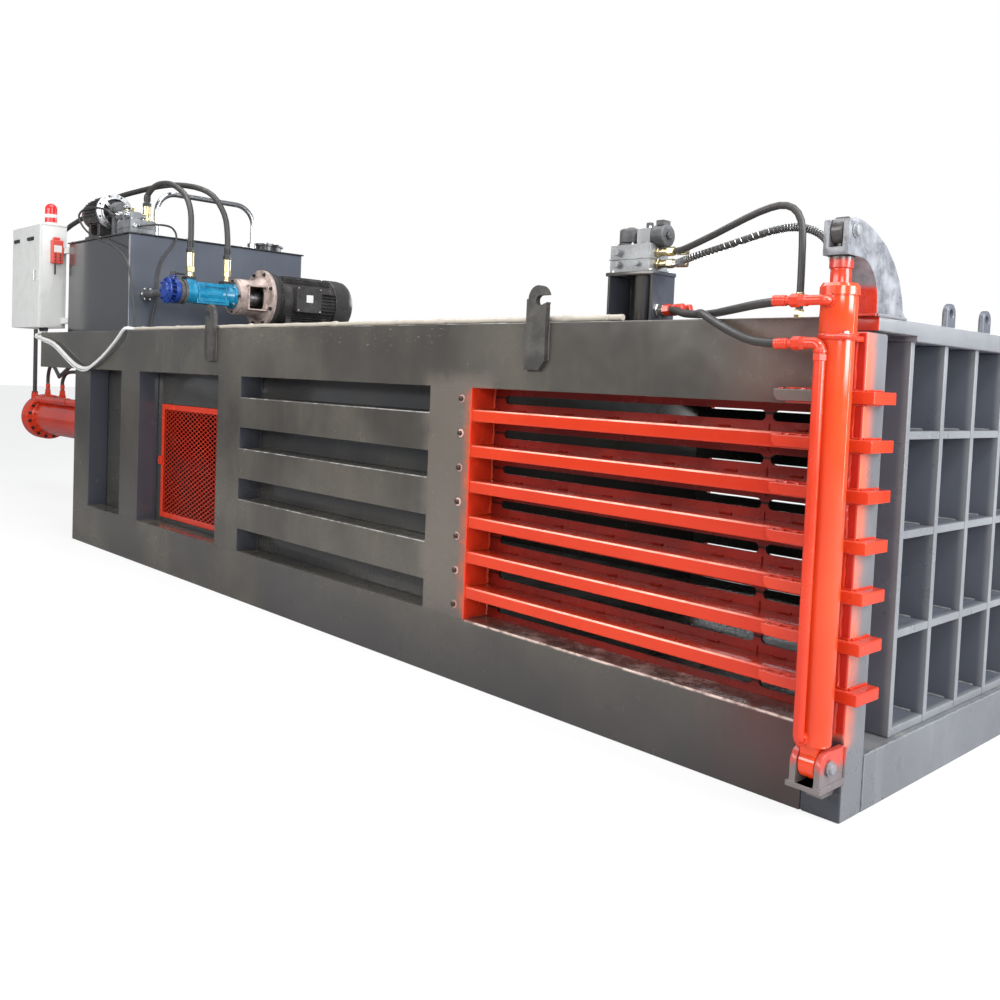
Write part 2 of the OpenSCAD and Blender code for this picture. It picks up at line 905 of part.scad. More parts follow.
module cabinet_door()
  color([0.80, 0.80, 0.78])
  {
    tube(cab_x0, cab_x1, cab_y0, cab_y0 + door_t, cab_z0, cab_z1, 2);
    slab(cab_x0 + 54, cab_x0 + 190, cab_y0 - 14, cab_y0 + 1, cab_z1 - 130, cab_z1 - 102);
    slab(cab_x1 - 294, cab_x1 - 139, cab_y0 - 14, cab_y0 + 1, cab_z1 - 130, cab_z1 - 102);
    slab(cab_x1 - 92, cab_x1 - 70, cab_y0 - 20, cab_y0 + 1, cab_z0 + 410, cab_z0 + 510);
    for (z = knuckle_zs)
    {
      rod_z(knuckle_x, knuckle_y, z, z + 40, knuckle_d);
      slab(knuckle_x, cab_x0 + 1, knuckle_y - 2, knuckle_y + 2, z, z + 40);
    }
  }

beacon_x = cab_x1 - 78;
beacon_y = cab_y0 + 120;
module warning_beacon()
  color([0.85, 0.10, 0.08])
  {
    rod_z(beacon_x, beacon_y, cab_z1, cab_z1 + 30, 116);
    rod_z(beacon_x, beacon_y, cab_z1 + 29, cab_z1 + 150, 100);
    translate([beacon_x, beacon_y, cab_z1 + 150])
    sphere(d = 100, $fn = 40);
  }

module hand_remote()
  color([0.82, 0.12, 0.10])
  {
    slab(cab_x1, cab_x1 + 48, cab_y0 + 92, cab_y0 + 190, cab_z0 + 567, cab_z0 + 773);
    rod_z(cab_x1 + 24, cab_y0 + 128, cab_z0 + 470, cab_z0 + 568, 16);
    slab(cab_x1, cab_x1 + 20, cab_y0 + 110, cab_y0 + 172, cab_z0 + 772, cab_z0 + 800);
  }

// gate valve stand

vs_x = xr - 1200;
vs_y = -yo + 80;
stand_w = 234;
stand_d = 150;
stand_top = wall_h + 207;
module valve_stand()
  color(frame_c)
  {
    slab(vs_x, vs_x + 10, vs_y, vs_y + stand_d, wall_h, stand_top - 14);
    slab(vs_x + stand_w - 10, vs_x + stand_w, vs_y, vs_y + stand_d, wall_h, stand_top - 14);
    slab(vs_x + 9, vs_x + stand_w - 9, vs_y + stand_d - 10, vs_y + stand_d, wall_h, stand_top - 14);
    slab(vs_x - 10, vs_x + stand_w + 6, vs_y - 4, vs_y + stand_d, stand_top - 15, stand_top);
    rod_z(vs_x + 150, vs_y + 56, wall_h, stand_top - 14, 76);
    rod_x(vs_x + stand_w - 1, vs_x + stand_w + 36, vs_y + 40, wall_h + 50, 42);
    rod_x(vs_x + stand_w - 1, vs_x + stand_w + 36, vs_y + 90, wall_h + 50, 42);
  }

module gate_manifold()
  color([0.30, 0.31, 0.33])
  {
    slab(vs_x, vs_x + 208, vs_y + 10, vs_y + 130, stand_top, stand_top + 112);
    rod_z(vs_x + 60, vs_y + 70, stand_top + 111, stand_top + 190, 110);
    slab(vs_x + 120, vs_x + 190, vs_y + 30, vs_y + 110, stand_top + 111, stand_top + 176);
    rod_x(vs_x + 189, vs_x + 262, vs_y + 70, stand_top + 144, 92);
    rod_z(vs_x + 155, vs_y + 70, stand_top + 175, stand_top + 204, 34);
    rod_x(vs_x + 207, vs_x + 262, vs_y + 60, stand_top + 78, 40);
    rod_x(vs_x + 207, vs_x + 262, vs_y + 60, stand_top + 30, 40);
  }

// hoses and cables, routes in millimetres

function unit(v) = v / norm(v);
function at(p, i) = p[max(0, min(len(p) - 1, i))];
function side_of(d) = abs(d[2]) > 0.9 ? unit(cross(d, [0, 1, 0])) : unit(cross(d, [0, 0, 1]));
function ring(p, i, r, n) =
  let (d = unit(at(p, i + 1) - at(p, i - 1)), a = side_of(d), b = cross(d, a))
  [for (k = [0:n - 1]) p[i] + r * cos(360 * k / n) * a + r * sin(360 * k / n) * b];

module hose(p, d, n)
  polyhedron(
    points = [for (i = [0:len(p) - 1]) each ring(p, i, d / 2, n)],
    faces = concat(
      [[for (k = [0:n - 1]) k]],
      [for (i = [0:len(p) - 2], k = [0:n - 1])
        [i * n + k, (i + 1) * n + k, (i + 1) * n + (k + 1) % n, i * n + (k + 1) % n]],
      [[for (k = [n - 1:-1:0]) (len(p) - 1) * n + k]]
    )
  );

hose_d = 38;
pump_left_route = [
  [pump_x, port_far_y, shaft_z + 283], [pump_x, port_far_y, shaft_z + 345], [-2290, -256, 2500],
  [-2320, -270, 2650], [-2420, -320, 2800],
  [-2620, -380, 2880], [-3000, -420, 2930], [-3450, -450, 2930], [-3880, -500, 2900], [-4300, -480, 2840],
  [-5100, -420, 2780], [-6000, -290, 2680], [-6550, -190, 2520], [-6820, -145, 2260],
  [main_x0 + 90, line_y, 1950], [main_x0 + 90, line_y, port_end_z + 80],
  [main_x0 + 90, line_y, port_end_z]
];
pump_right_route = [
  [pump_x, port_near_y, shaft_z + 303], [pump_x, port_near_y, shaft_z + 365], [-2290, -556, 2500],
  [-2330, -545, 2640], [-2440, -530, 2760],
  [-2560, -535, 2835], [-2690, -550, 2885], [-2830, -570, 2895], [-2925, -585, 2868],
  [tank_x1 - 118, -600, tank_top + 310], [tank_x1 - 110, -600, tank_top + 270],
  [tank_x1 - 110, -600, tank_top + 230]
];
gate_front_route = [
  [vs_x + 262, vs_y + 60, stand_top + 78], [vs_x + 310, vs_y + 60, stand_top + 78], [2600, -875, 1990],
  [2760, -930, 2020], [2969, -960, 2080],
  [3070, -945, 2095], [3120, -930, 2040], [3128, -925, 1900], [3128, -925, wall_h]
];
gate_rear_route = [
  [vs_x + 262, vs_y + 60, stand_top + 30], [vs_x + 310, vs_y + 60, stand_top + 30], [2600, -865, 1948],
  [2763, -890, 1975], [2996, -900, 2020],
  [3116, -900, 2019], [3200, -900, 1975], [3236, -900, 1890], [3240, -900, 1790], [3240, -900, wall_h]
];
upper_port_route = [
  [vs_x + stand_w + 36, vs_y + 90, wall_h + 50], [vs_x + stand_w + 80, vs_y + 90, wall_h + 50],
  [2620, -842, 1730], [2769, -940, 1722], [2930, -1050, 1724], [3098, -1140, 1732],
  [lx - 150, ly - 84, port_z], [lx - 96, ly - 84, port_z]
];
side_pipe_route = [
  [vs_x + stand_w + 36, vs_y + 40, wall_h + 50], [vs_x + stand_w + 80, vs_y + 40, wall_h + 50],
  [2610, -892, 1730], [2700, -942, 1722], [2760, -992, 1721], [2830, -1040, 1698], [2950, -1090, 1650],
  [3090, -1140, 1608], [pipe_x - 120, pipe_y, elbow_z], [pipe_x - 70, pipe_y, elbow_z]
];
ram_left_route = [
  [xl - deck_over, -500, 1560], [xl - deck_over - 80, -500, 1560], [-4420, -500, 1552],
  [-4900, -450, 1440], [-5600, -320, 1310],
  [-6100, -160, 1310], [-6560, -50, 1400], [-6790, -10, 1390], [main_x0 + 110, 0, 1290],
  [main_x0 + 110, 0, port_end_z + 60], [main_x0 + 110, 0, port_end_z]
];
ram_mid_route = [
  [xl - deck_over, -300, 1560], [xl - deck_over - 80, -300, 1560], [-4420, -298, 1548], [-4900, -200, 1410],
  [-5500, -60, 1330], [-6050, 10, 1350], [-6330, 5, 1330], [main_x0 + 555, 0, 1240],
  [main_x0 + 555, 0, port_end_z + 50], [main_x0 + 555, 0, port_end_z]
];

module pump_hose_left()
  color(dark_c)
  hose(pump_left_route, 44, 10);

module pump_hose_right()
  color(dark_c)
  hose(pump_right_route, 44, 10);

module gate_hose_front()
  color(dark_c)
  hose(gate_front_route, 26, 10);

module gate_hose_rear()
  color(dark_c)
  hose(gate_rear_route, 26, 10);

module upper_port_hose()
  color(dark_c)
  hose(upper_port_route, 30, 10);

module side_pipe_hose()
  color(dark_c)
  hose(side_pipe_route, 30, 10);

module ram_hose_left()
  color(dark_c)
  hose(ram_left_route, hose_d, 10);

module ram_hose_mid()
  color(dark_c)
  hose(ram_mid_route, hose_d, 10);

return_x = tank_x1 - 108;
return_z = tank_top + 364;
module return_pipe()
  color([0.72, 0.73, 0.74])
  {
    rod_z(return_x, -520, tank_top + 90, return_z, 42);
    translate([return_x, -520, return_z])
    sphere(d = 42, $fn = 32);
    rod_y(return_x, -520, 350, return_z, 42);
    translate([return_x, 350, return_z])
    sphere(d = 42, $fn = 32);
    rod_z(return_x, 350, tank_top, return_z, 42);
    rod_z(return_x, 350, tank_top, tank_top + 40, 64);
    rod_z(return_x, -520, tank_top, tank_top + 91, 64);
  }

conduit_y = 22 - yo;
conduit_in = 1115;
conduit_end = 1059;
conduit_x0 = xl + conduit_in;
module deck_conduit()
  color([0.85, 0.84, 0.80])
  rod_x(conduit_x0, xr - conduit_end, conduit_y, wall_h + 14, 26);

cabinet_route = [
  [cab_x1 - 60, -890, cab_z0], [cab_x1 - 60, -890, cab_z0 - 35], [-4345, -940, 1692], [-4262, -1008, 1676],
  [-4170, -1012, 1655], [-3820, -1012, 1600],
  [-3544, -1012, 1500], [-3322, -1012, 1425], [-3112, -1012, 1402], [-2940, -1012, 1445],
  [-2722, -1012, 1530], [-2521, -1010, 1635], [-2425, -992, 1716], [conduit_x0 - 50, conduit_y, wall_h + 14],
  [conduit_x0, conduit_y, wall_h + 14]
];
tank_route = [
  [tank_x1 - 240, -800, tank_top + 150], [tank_x1 - 240, -835, tank_top + 150], [-3200, -850, 2690],
  [-3546, -855, 2735], [-3745, -855, 2690],
  [-3645, -852, 2581], [-3406, -848, 2480], [-3057, -845, 2391], [-2790, -845, 2270],
  [-2670, -850, 2100], [-2600, -850, 1880], [-2590, -850, 1760], [-2590, -850, wall_h]
];
short_x = tank_x1 + 32;
tank_short_route = [
  [tank_x1 - 40, -700, tank_top + 55], [tank_x1 - 5, -700, tank_top + 55], [short_x - 8, -655, 2560],
  [short_x, -580, 2574], [short_x, -500, 2577], [short_x, -450, 2565], [short_x, -417, 2525],
  [short_x, -414, 2480], [short_x, -434, 2430], [short_x, -512, 2324], [short_x, -548, 2228],
  [short_x, -560, 2116], [short_x, -566, 1986], [short_x, -600, 1801], [short_x, -606, 1760],
  [short_x, -606, wall_h]
];
module cabinet_cable()
  color([0.85, 0.84, 0.80])
  hose(cabinet_route, 24, 8);

module tank_cable()
  color(dark_c)
  {
    hose(tank_route, 16, 8);
    hose(tank_short_route, 16, 8);
  }

bottom_beams();
top_beams();
side_posts();
jamb_plates();
jamb_bolts();
side_ribs();
side_skins();
cross_bars();
liner_bars();
end_posts();
post_fingers();
end_sill();
floor_frame();
roof_plates();
rear_frame();
tank_deck();
lifting_hooks();
gate_plate();
gate_uprights();
gate_shelves();
gate_top_bar();
lift_arms();
lift_rods();
lift_barrels();
foot_clevises();
barrel_clamps();
side_pipes();
main_barrel();
main_rod();
ram_head();
near_mesh_door();
far_mesh_door();
oil_tank();
pump_motor();
motor_base();
bell_housing();
shaft_coupling();
double_pump();
suction_valve();
valve_lever();
tank_motor();
tank_valves();
control_cabinet();
cabinet_door();
warning_beacon();
hand_remote();
valve_stand();
gate_manifold();
pump_hose_left();
pump_hose_right();
return_pipe();
gate_hose_front();
gate_hose_rear();
upper_port_hose();
side_pipe_hose();
ram_hose_left();
ram_hose_mid();
cabinet_cable();
deck_conduit();
tank_cable();
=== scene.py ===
import bpy
import bmesh
import json
import math
import random
from mathutils import Matrix, Vector


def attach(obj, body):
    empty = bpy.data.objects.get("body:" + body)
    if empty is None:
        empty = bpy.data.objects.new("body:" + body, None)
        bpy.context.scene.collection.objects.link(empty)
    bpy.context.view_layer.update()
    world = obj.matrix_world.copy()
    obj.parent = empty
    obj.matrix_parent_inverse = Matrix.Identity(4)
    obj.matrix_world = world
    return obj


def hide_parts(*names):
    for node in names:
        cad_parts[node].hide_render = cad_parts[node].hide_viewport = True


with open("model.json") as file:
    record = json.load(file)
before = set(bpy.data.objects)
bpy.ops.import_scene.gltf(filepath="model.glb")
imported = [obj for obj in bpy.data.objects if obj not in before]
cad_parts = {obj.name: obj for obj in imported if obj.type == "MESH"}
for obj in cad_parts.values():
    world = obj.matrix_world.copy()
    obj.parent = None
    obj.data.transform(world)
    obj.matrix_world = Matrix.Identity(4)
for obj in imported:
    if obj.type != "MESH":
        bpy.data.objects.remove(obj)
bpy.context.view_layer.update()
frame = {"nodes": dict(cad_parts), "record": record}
scene = bpy.context.scene
dice = random.Random(7)

# camera, solved from the wall and gate edges
eye = {
    "place": (4.9883, -4.0889, 1.4341),
    "right": (0.69174, 0.72096, 0.04137),
    "up": (-0.06349, 0.00365, 0.99798),
    "back": (0.71935, -0.69297, 0.04830),
    "lens": 36.09,
    "shift": (-0.0122, -0.0691),
}


def placeCamera():
    data = bpy.data.cameras.new("eye")
    cam = bpy.data.objects.new("eye", data)
    scene.collection.objects.link(cam)
    rows = [[eye["right"][i], eye["up"][i], eye["back"][i], eye["place"][i]] for i in range(3)]
    cam.matrix_world = Matrix(rows + [[0, 0, 0, 1]])
    data.sensor_width = 36
    data.lens = eye["lens"]
    data.shift_x, data.shift_y = eye["shift"]
    data.clip_start, data.clip_end = 0.05, 200
    scene.camera = cam


placeCamera()

# where overspray, wear, painted shade and painted highlights lie
marks = {
    "jambEdge": {"x": (1.4735, 1.60), "z": (0.31, 1.40)},
    "jambHaze": {"x": (1.440, 1.62), "z": (0.34, 1.39)},
    "jambPlate": {"x": (1.15, 1.62), "z": (0.30, 1.45)},
    "lowBeam": {"x": (-0.4, None), "z": (None, 0.30)},
    "inside": {"x": (-2.9, 3.26), "y": (-0.8285, 0.8285), "z": (0.20, 1.42)},
    "ledgeBack": {"x": (1.48, 3.3), "z": (0.303, 0.33)},
    "ledgeMiddle": {"x": (1.75, 2.95), "y": (-0.965, 0.965)},
    "ledgeTop": {"z": (0.300, 0.32)},
    "ledgeRim": {"x": (1.49, 3.26), "z": (0.300, 0.32)},
    "post": {"z": (0.30, 1.66)},
    "postHaze": {"z": (0.27, 1.66)},
    "postFootShade": {"z": (None, 0.29)},
    "barMiddle": {"x": (1.62, 2.95)},
    "topBar": {"z": (1.60, 1.80)},
    "beamEnds": {"x": (2.95, None), "z": (0.10, None)},
    "ribs": {"x": (-0.69, 1.17), "z": (None, 1.45)},
    "overRibs": {"x": (-1.0, 1.3), "z": (1.60, 1.68)},
    "armRoot": {"z": (1.60, 1.79), "x": (None, 3.33)},
    "topFinger": {"x": (None, 3.29), "z": (1.40, None)},
    "footTop": {"z": (0.225, 0.4)},
    "rodEye": {"z": (1.80, 1.872)},
}


# node graphs for materials
class Graph:
    sockets = {"colour": "Base Color", "rough": "Roughness", "metal": "Metallic", "normal": "Normal",
               "coat": "Coat Weight", "coatRough": "Coat Roughness", "gloss": "Specular IOR Level"}

    def __init__(self, name):
        self.material = bpy.data.materials.new(name)
        self.material.use_nodes = True
        self.tree = self.material.node_tree
        self.shader = self.tree.nodes["Principled BSDF"]
        self.place = self.tree.nodes.new("ShaderNodeTexCoord").outputs["Object"]
        self.parts = None

    def node(self, kind, **settings):
        made = self.tree.nodes.new(kind)
        for key, value in settings.items():
            setattr(made, key, value)
        return made

    def feed(self, socket, value):
        if isinstance(value, bpy.types.NodeSocket):
            self.tree.links.new(value, socket)
        elif isinstance(value, tuple) and len(value) == 3 and socket.type == "RGBA":
            socket.default_value = (*value, 1)
        else:
            socket.default_value = value

    def along(self, letter):
        if self.parts is None:
            self.parts = self.node("ShaderNodeSeparateXYZ")
            self.feed(self.parts.inputs[0], self.place)
        return self.parts.outputs["XYZ".index(letter.upper())]

    def facing(self, letter):
        split = self.node("ShaderNodeSeparateXYZ")
        self.feed(split.inputs[0], self.node("ShaderNodeNewGeometry").outputs["Normal"])
        return split.outputs["XYZ".index(letter.upper())]

    def noise(self, scale, detail=3, rough=0.55, stretch=None):
        tex = self.node("ShaderNodeTexNoise")
        where = self.place
        if stretch:
            scaled = self.node("ShaderNodeVectorMath", operation="MULTIPLY")
            self.feed(scaled.inputs[0], where)
            scaled.inputs[1].default_value = stretch
            where = scaled.outputs[0]
        self.feed(tex.inputs["Vector"], where)
        for key, value in (("Scale", scale), ("Detail", detail), ("Roughness", rough)):
            tex.inputs[key].default_value = value
        return tex.outputs["Fac"]

    def span(self, value, low, high, start=0.0, end=1.0):
        made = self.node("ShaderNodeMapRange", interpolation_type="SMOOTHSTEP")
        self.feed(made.inputs["Value"], value)
        for key, limit in (("From Min", low), ("From Max", high), ("To Min", start), ("To Max", end)):
            made.inputs[key].default_value = limit
        return made.outputs["Result"]

    def fade(self, value, low, high):
        return self.span(value, low, high, 1.0, 0.0)

    def sums(self, operation, a, b=0.0):
        made = self.node("ShaderNodeMath", operation=operation)
        self.feed(made.inputs[0], a)
        self.feed(made.inputs[1], b)
        return made.outputs[0]

    def times(self, first, *others):
        for value in others:
            first = self.sums("MULTIPLY", first, value)
        return first

    def aside(self):
        # distance from the press's middle plane
        return self.sums("ABSOLUTE", self.along("y"))

    def sideFace(self, low, high):
        return self.span(self.sums("ABSOLUTE", self.facing("y")), low, high)

    def mix(self, factor, a, b):
        made = self.node("ShaderNodeMix", data_type="RGBA")
        for key, value in (("Factor", factor), ("A", a), ("B", b)):
            self.feed(made.inputs[key], value)
        return made.outputs["Result"]

    def zone(self, mark, soft, ragged=0.0):
        # 1 inside one of the marked boxes, with a soft and ragged border
        total = None
        wobble = self.sums("SUBTRACT", self.noise(9, 4, 0.65), 0.5) if ragged else None
        for letter, (low, high) in marks[mark].items():
            value = self.along(letter)
            if ragged:
                value = self.sums("ADD", value, self.times(wobble, ragged))
            for edge, start, end in ((low, 0.0, 1.0), (high, 1.0, 0.0)):
                if edge is None:
                    continue
                part = self.span(value, edge - soft, edge + soft, start, end)
                total = part if total is None else self.times(total, part)
        return total

    def repeat(self, pitch, first):
        # height above the nearest of the rows that start at a height
        level = self.sums("MODULO", self.sums("SUBTRACT", self.along("z"), first - 1.5 * pitch), pitch)
        return self.sums("SUBTRACT", level, pitch / 2)

    def bump(self, height, distance, normal=None):
        made = self.node("ShaderNodeBump")
        made.inputs["Strength"].default_value = 1.0
        made.inputs["Distance"].default_value = distance
        self.feed(made.inputs["Height"], height)
        if normal is not None:
            self.feed(made.inputs["Normal"], normal)
        return made.outputs["Normal"]

    def give(self, **values):
        for key, value in values.items():
            self.feed(self.shader.inputs[self.sockets[key]], value)
        return self.material


# sprayed enamel on plate: broad patches, runs of dust, fine mist, orange peel and slow plate waves
enamelLook = {"patch": 1.1, "runs": 0.25, "settled": 0.45, "speck": 0.12, "rough": (0.2, 0.42), "waves": 2.6,
              "waveDepth": 0.006, "peel": 0.00006, "coat": 0.25, "coatRough": 0.12, "gloss": 0.5}


def enamel(name, look, mists=()):
    look = {**enamelLook, **look}
    g = Graph(name)
    broad = g.noise(look["patch"], 4, 0.6)
    runs = g.noise(3.0, 4, 0.6, (5, 5, 0.5))
    mist = g.noise(210, 2, 0.6)
    colour = g.mix(g.span(broad, 0.34, 0.7), look["shade"], look["colour"])
    colour = g.mix(g.span(runs, 0.5, 0.82, 0, look["runs"]), colour, look["dust"])
    settled = g.times(g.span(g.facing("z"), 0.55, 0.95), g.span(g.noise(6, 5, 0.7), 0.38, 0.72))
    colour = g.mix(g.times(settled, look["settled"]), colour, look["dust"])
    colour = g.mix(g.span(mist, 0.62, 0.8, 0, look["speck"]), colour, look["dust"])
    for paint, mask in mists:
        colour = g.mix(mask(g), colour, paint)
    rough = g.sums("ADD", g.times(broad, 0.6), g.times(g.noise(14, 4), 0.4))
    rough = g.sums("ADD", g.span(rough, 0.34, 0.68, *look["rough"]), g.times(settled, 0.25))
    waves = g.bump(g.noise(look["waves"], 2, 0.4), look["waveDepth"])
    peel = g.bump(g.noise(380, 2), look["peel"], waves)
    return g.give(colour=colour, rough=rough, normal=peel, coat=look["coat"], coatRough=look["coatRough"],
                  gloss=look["gloss"])


def jambMist(g):
    # a red edge beside the bars, fading into orange mist
    return g.zone("jambEdge", 0.0035, 0.008)


def jambHaze(g):
    return g.times(g.zone("jambHaze", 0.035, 0.03), g.span(g.noise(11, 4, 0.7), 0.35, 0.65, 0.25, 0.85))


def jambWarm(g):
    # the jamb plate took more overspray than the ribs beside it
    return g.times(g.zone("jambPlate", 0.05, 0.12), 0.6)


def lowShade(g):
    return g.times(g.zone("lowBeam", 0.25, 0.10), 0.7)


def insideShade(g):
    # painted shade: the chamber's insides are coloured near black
    return g.zone("inside", 0.001)


def ledgeMist(g):
    # red mist that fell on the back of the ledge under the bars
    deep = g.sums("MAXIMUM", g.fade(g.aside(), 0.83, 0.93), 0.45)
    return g.times(g.zone("ledgeBack", 0.004), deep, g.span(g.noise(7, 4, 0.7), 0.30, 0.60, 0.25, 0.85))


def ledgeDust(g):
    top = g.times(g.zone("ledgeTop", 0.004), g.zone("ledgeMiddle", 0.18, 0.05), g.span(g.facing("z"), 0.4, 0.9))
    return g.times(top, g.span(g.noise(9, 6, 0.8), 0.46, 0.62, 0.0, 0.85))


def ledgeEdgeHighlight(g):
    # painted highlight along the ledge's front edge
    rim = g.times(g.span(g.aside(), 0.970, 0.976), g.zone("ledgeRim", 0.004))
    return g.times(rim, g.span(g.noise(16, 5, 0.7), 0.36, 0.58, 0.15, 0.9))


def postMist(g):
    # the post's outer face is sprayed red above the foot bracket
    return g.times(g.zone("post", 0.01, 0.03), g.sideFace(0.4, 0.7))


def postHaze(g):
    # the mist wraps the post's edge and thins out to half its front
    thin = g.times(g.span(g.aside(), 0.885, 0.982), g.span(g.noise(6, 4, 0.7), 0.3, 0.6, 0.35, 0.95))
    return g.times(g.zone("postHaze", 0.03, 0.05), thin)


def postFootShade(g):
    # painted shade on the post's side faces behind the foot bracket
    return g.times(g.zone("postFootShade", 0.02), g.sideFace(0.4, 0.7))


def recessShade(g):
    # painted shade at the bottom of the recesses
    return g.times(g.fade(g.aside(), 0.836, 0.875), 0.6)


def cellShade(g):
    # painted shade inside the gate's cells, behind the front edges
    return g.times(g.fade(g.along("x"), 3.350, 3.380), 0.85)


def gateFlankShade(g):
    # painted shade on the gate's outer flanks, in the gap beside the end posts
    return g.times(g.span(g.aside(), 0.592, 0.60), g.fade(g.along("x"), 3.30, 3.32))


def barEdgeHighlight(g):
    # painted highlight along the bars' upper front edge
    corner = g.times(g.span(g.repeat(0.167, 0.437), 0.0200, 0.0230), g.span(g.aside(), 0.9700, 0.9730))
    return g.times(corner, g.zone("barMiddle", 0.25), g.span(g.noise(8, 4, 0.7), 0.3, 0.6, 0.45, 0.9))


def barBackShade(g):
    # painted shade: the bars' tops darken towards the liner, under the bar above
    return g.times(g.fade(g.aside(), 0.85, 0.965), 0.8)


def barEndShade(g):
    # painted shade: the bars darken towards the gate end
    return g.times(g.span(g.along("x"), 2.3, 3.4), 0.5)


def linerSlotShade(g):
    # painted shade between a slot and the bar above it, widening the slot's dark band
    return g.fade(g.repeat(0.167, 0.437), -0.078, -0.070)


def linerInsideShade(g):
    # painted shade on the liner's inner faces, inside the chamber
    return g.fade(g.aside(), 0.8285, 0.8298)


def coolSideReflection(g):
    # painted reflection: faces towards the gate end take a cool blue tint
    return g.times(g.span(g.facing("x"), 0.5, 0.8), 0.8)


def rootMist(g):
    # red mist on the outer ends of the top bar and the roots of the arms
    return g.times(g.zone("topBar", 0.012, 0.02), g.span(g.aside(), 0.80, 0.82), g.sideFace(0.35, 0.6))


def endMistAndShade(g):
    # red mist on the beams beside the end post, darkened further as painted shade
    return g.times(g.zone("beamEnds", 0.25, 0.15), 0.5)


def ribEdgeWearAndHighlight(g):
    # the ribs' upper edges are rubbed light and carry a painted highlight, most of all towards the jamb
    level = g.repeat(0.318, 0.318)
    rim = g.times(g.span(level, -0.0065, -0.0035), g.fade(level, 0.001, 0.003), g.span(g.aside(), 0.9730, 0.9760))
    worn = g.sums("ADD", g.span(g.noise(13, 5, 0.75), 0.40, 0.65), g.span(g.along("x"), -0.3, 1.2, -0.25, 0.25))
    return g.times(rim, g.zone("ribs", 0.004), g.span(worn, 0.0, 0.8, 0.25, 1.0))


def topScuffsAndGlints(g):
    # pale scuffs and painted glints along the top beam over the ribs
    return g.times(g.zone("overRibs", 0.06, 0.10), g.span(g.noise(42, 6, 0.8, (0.5, 1, 1.6)), 0.60, 0.68, 0.0, 0.8))


redTone = (0.50, 0.030, 0.011)
greys = {
    "frame": {"colour": (0.088, 0.080, 0.065), "shade": (0.046, 0.042, 0.038), "dust": (0.16, 0.14, 0.11),
              "rough": (0.15, 0.30), "runs": 0.12, "settled": 0.4, "speck": 0.04, "waveDepth": 0.005},
    "gate": {"colour": (0.21, 0.215, 0.225), "shade": (0.16, 0.165, 0.175), "dust": (0.3, 0.29, 0.275),
             "rough": (0.26, 0.45), "waveDepth": 0.003},
    "arm": {"colour": (0.23, 0.234, 0.254), "shade": (0.11, 0.113, 0.125), "dust": (0.42, 0.42, 0.44),
            "patch": 14, "rough": (0.22, 0.5), "waves": 34, "waveDepth": 0.004, "speck": 0.5, "runs": 0.3},
    "tank": {"colour": (0.100, 0.110, 0.135), "shade": (0.080, 0.088, 0.108), "dust": (0.18, 0.18, 0.19),
             "rough": (0.10, 0.22), "coat": 0.5, "runs": 0.12, "waveDepth": 0.003, "speck": 0.03, "peel": 0.00002},
}
reds = {"colour": (0.56, 0.036, 0.010), "shade": (0.46, 0.026, 0.008), "dust": (0.50, 0.070, 0.03),
        "rough": (0.16, 0.30),
        "runs": 0.08, "settled": 0.2, "speck": 0.03, "coat": 0.3, "waveDepth": 0.0025}
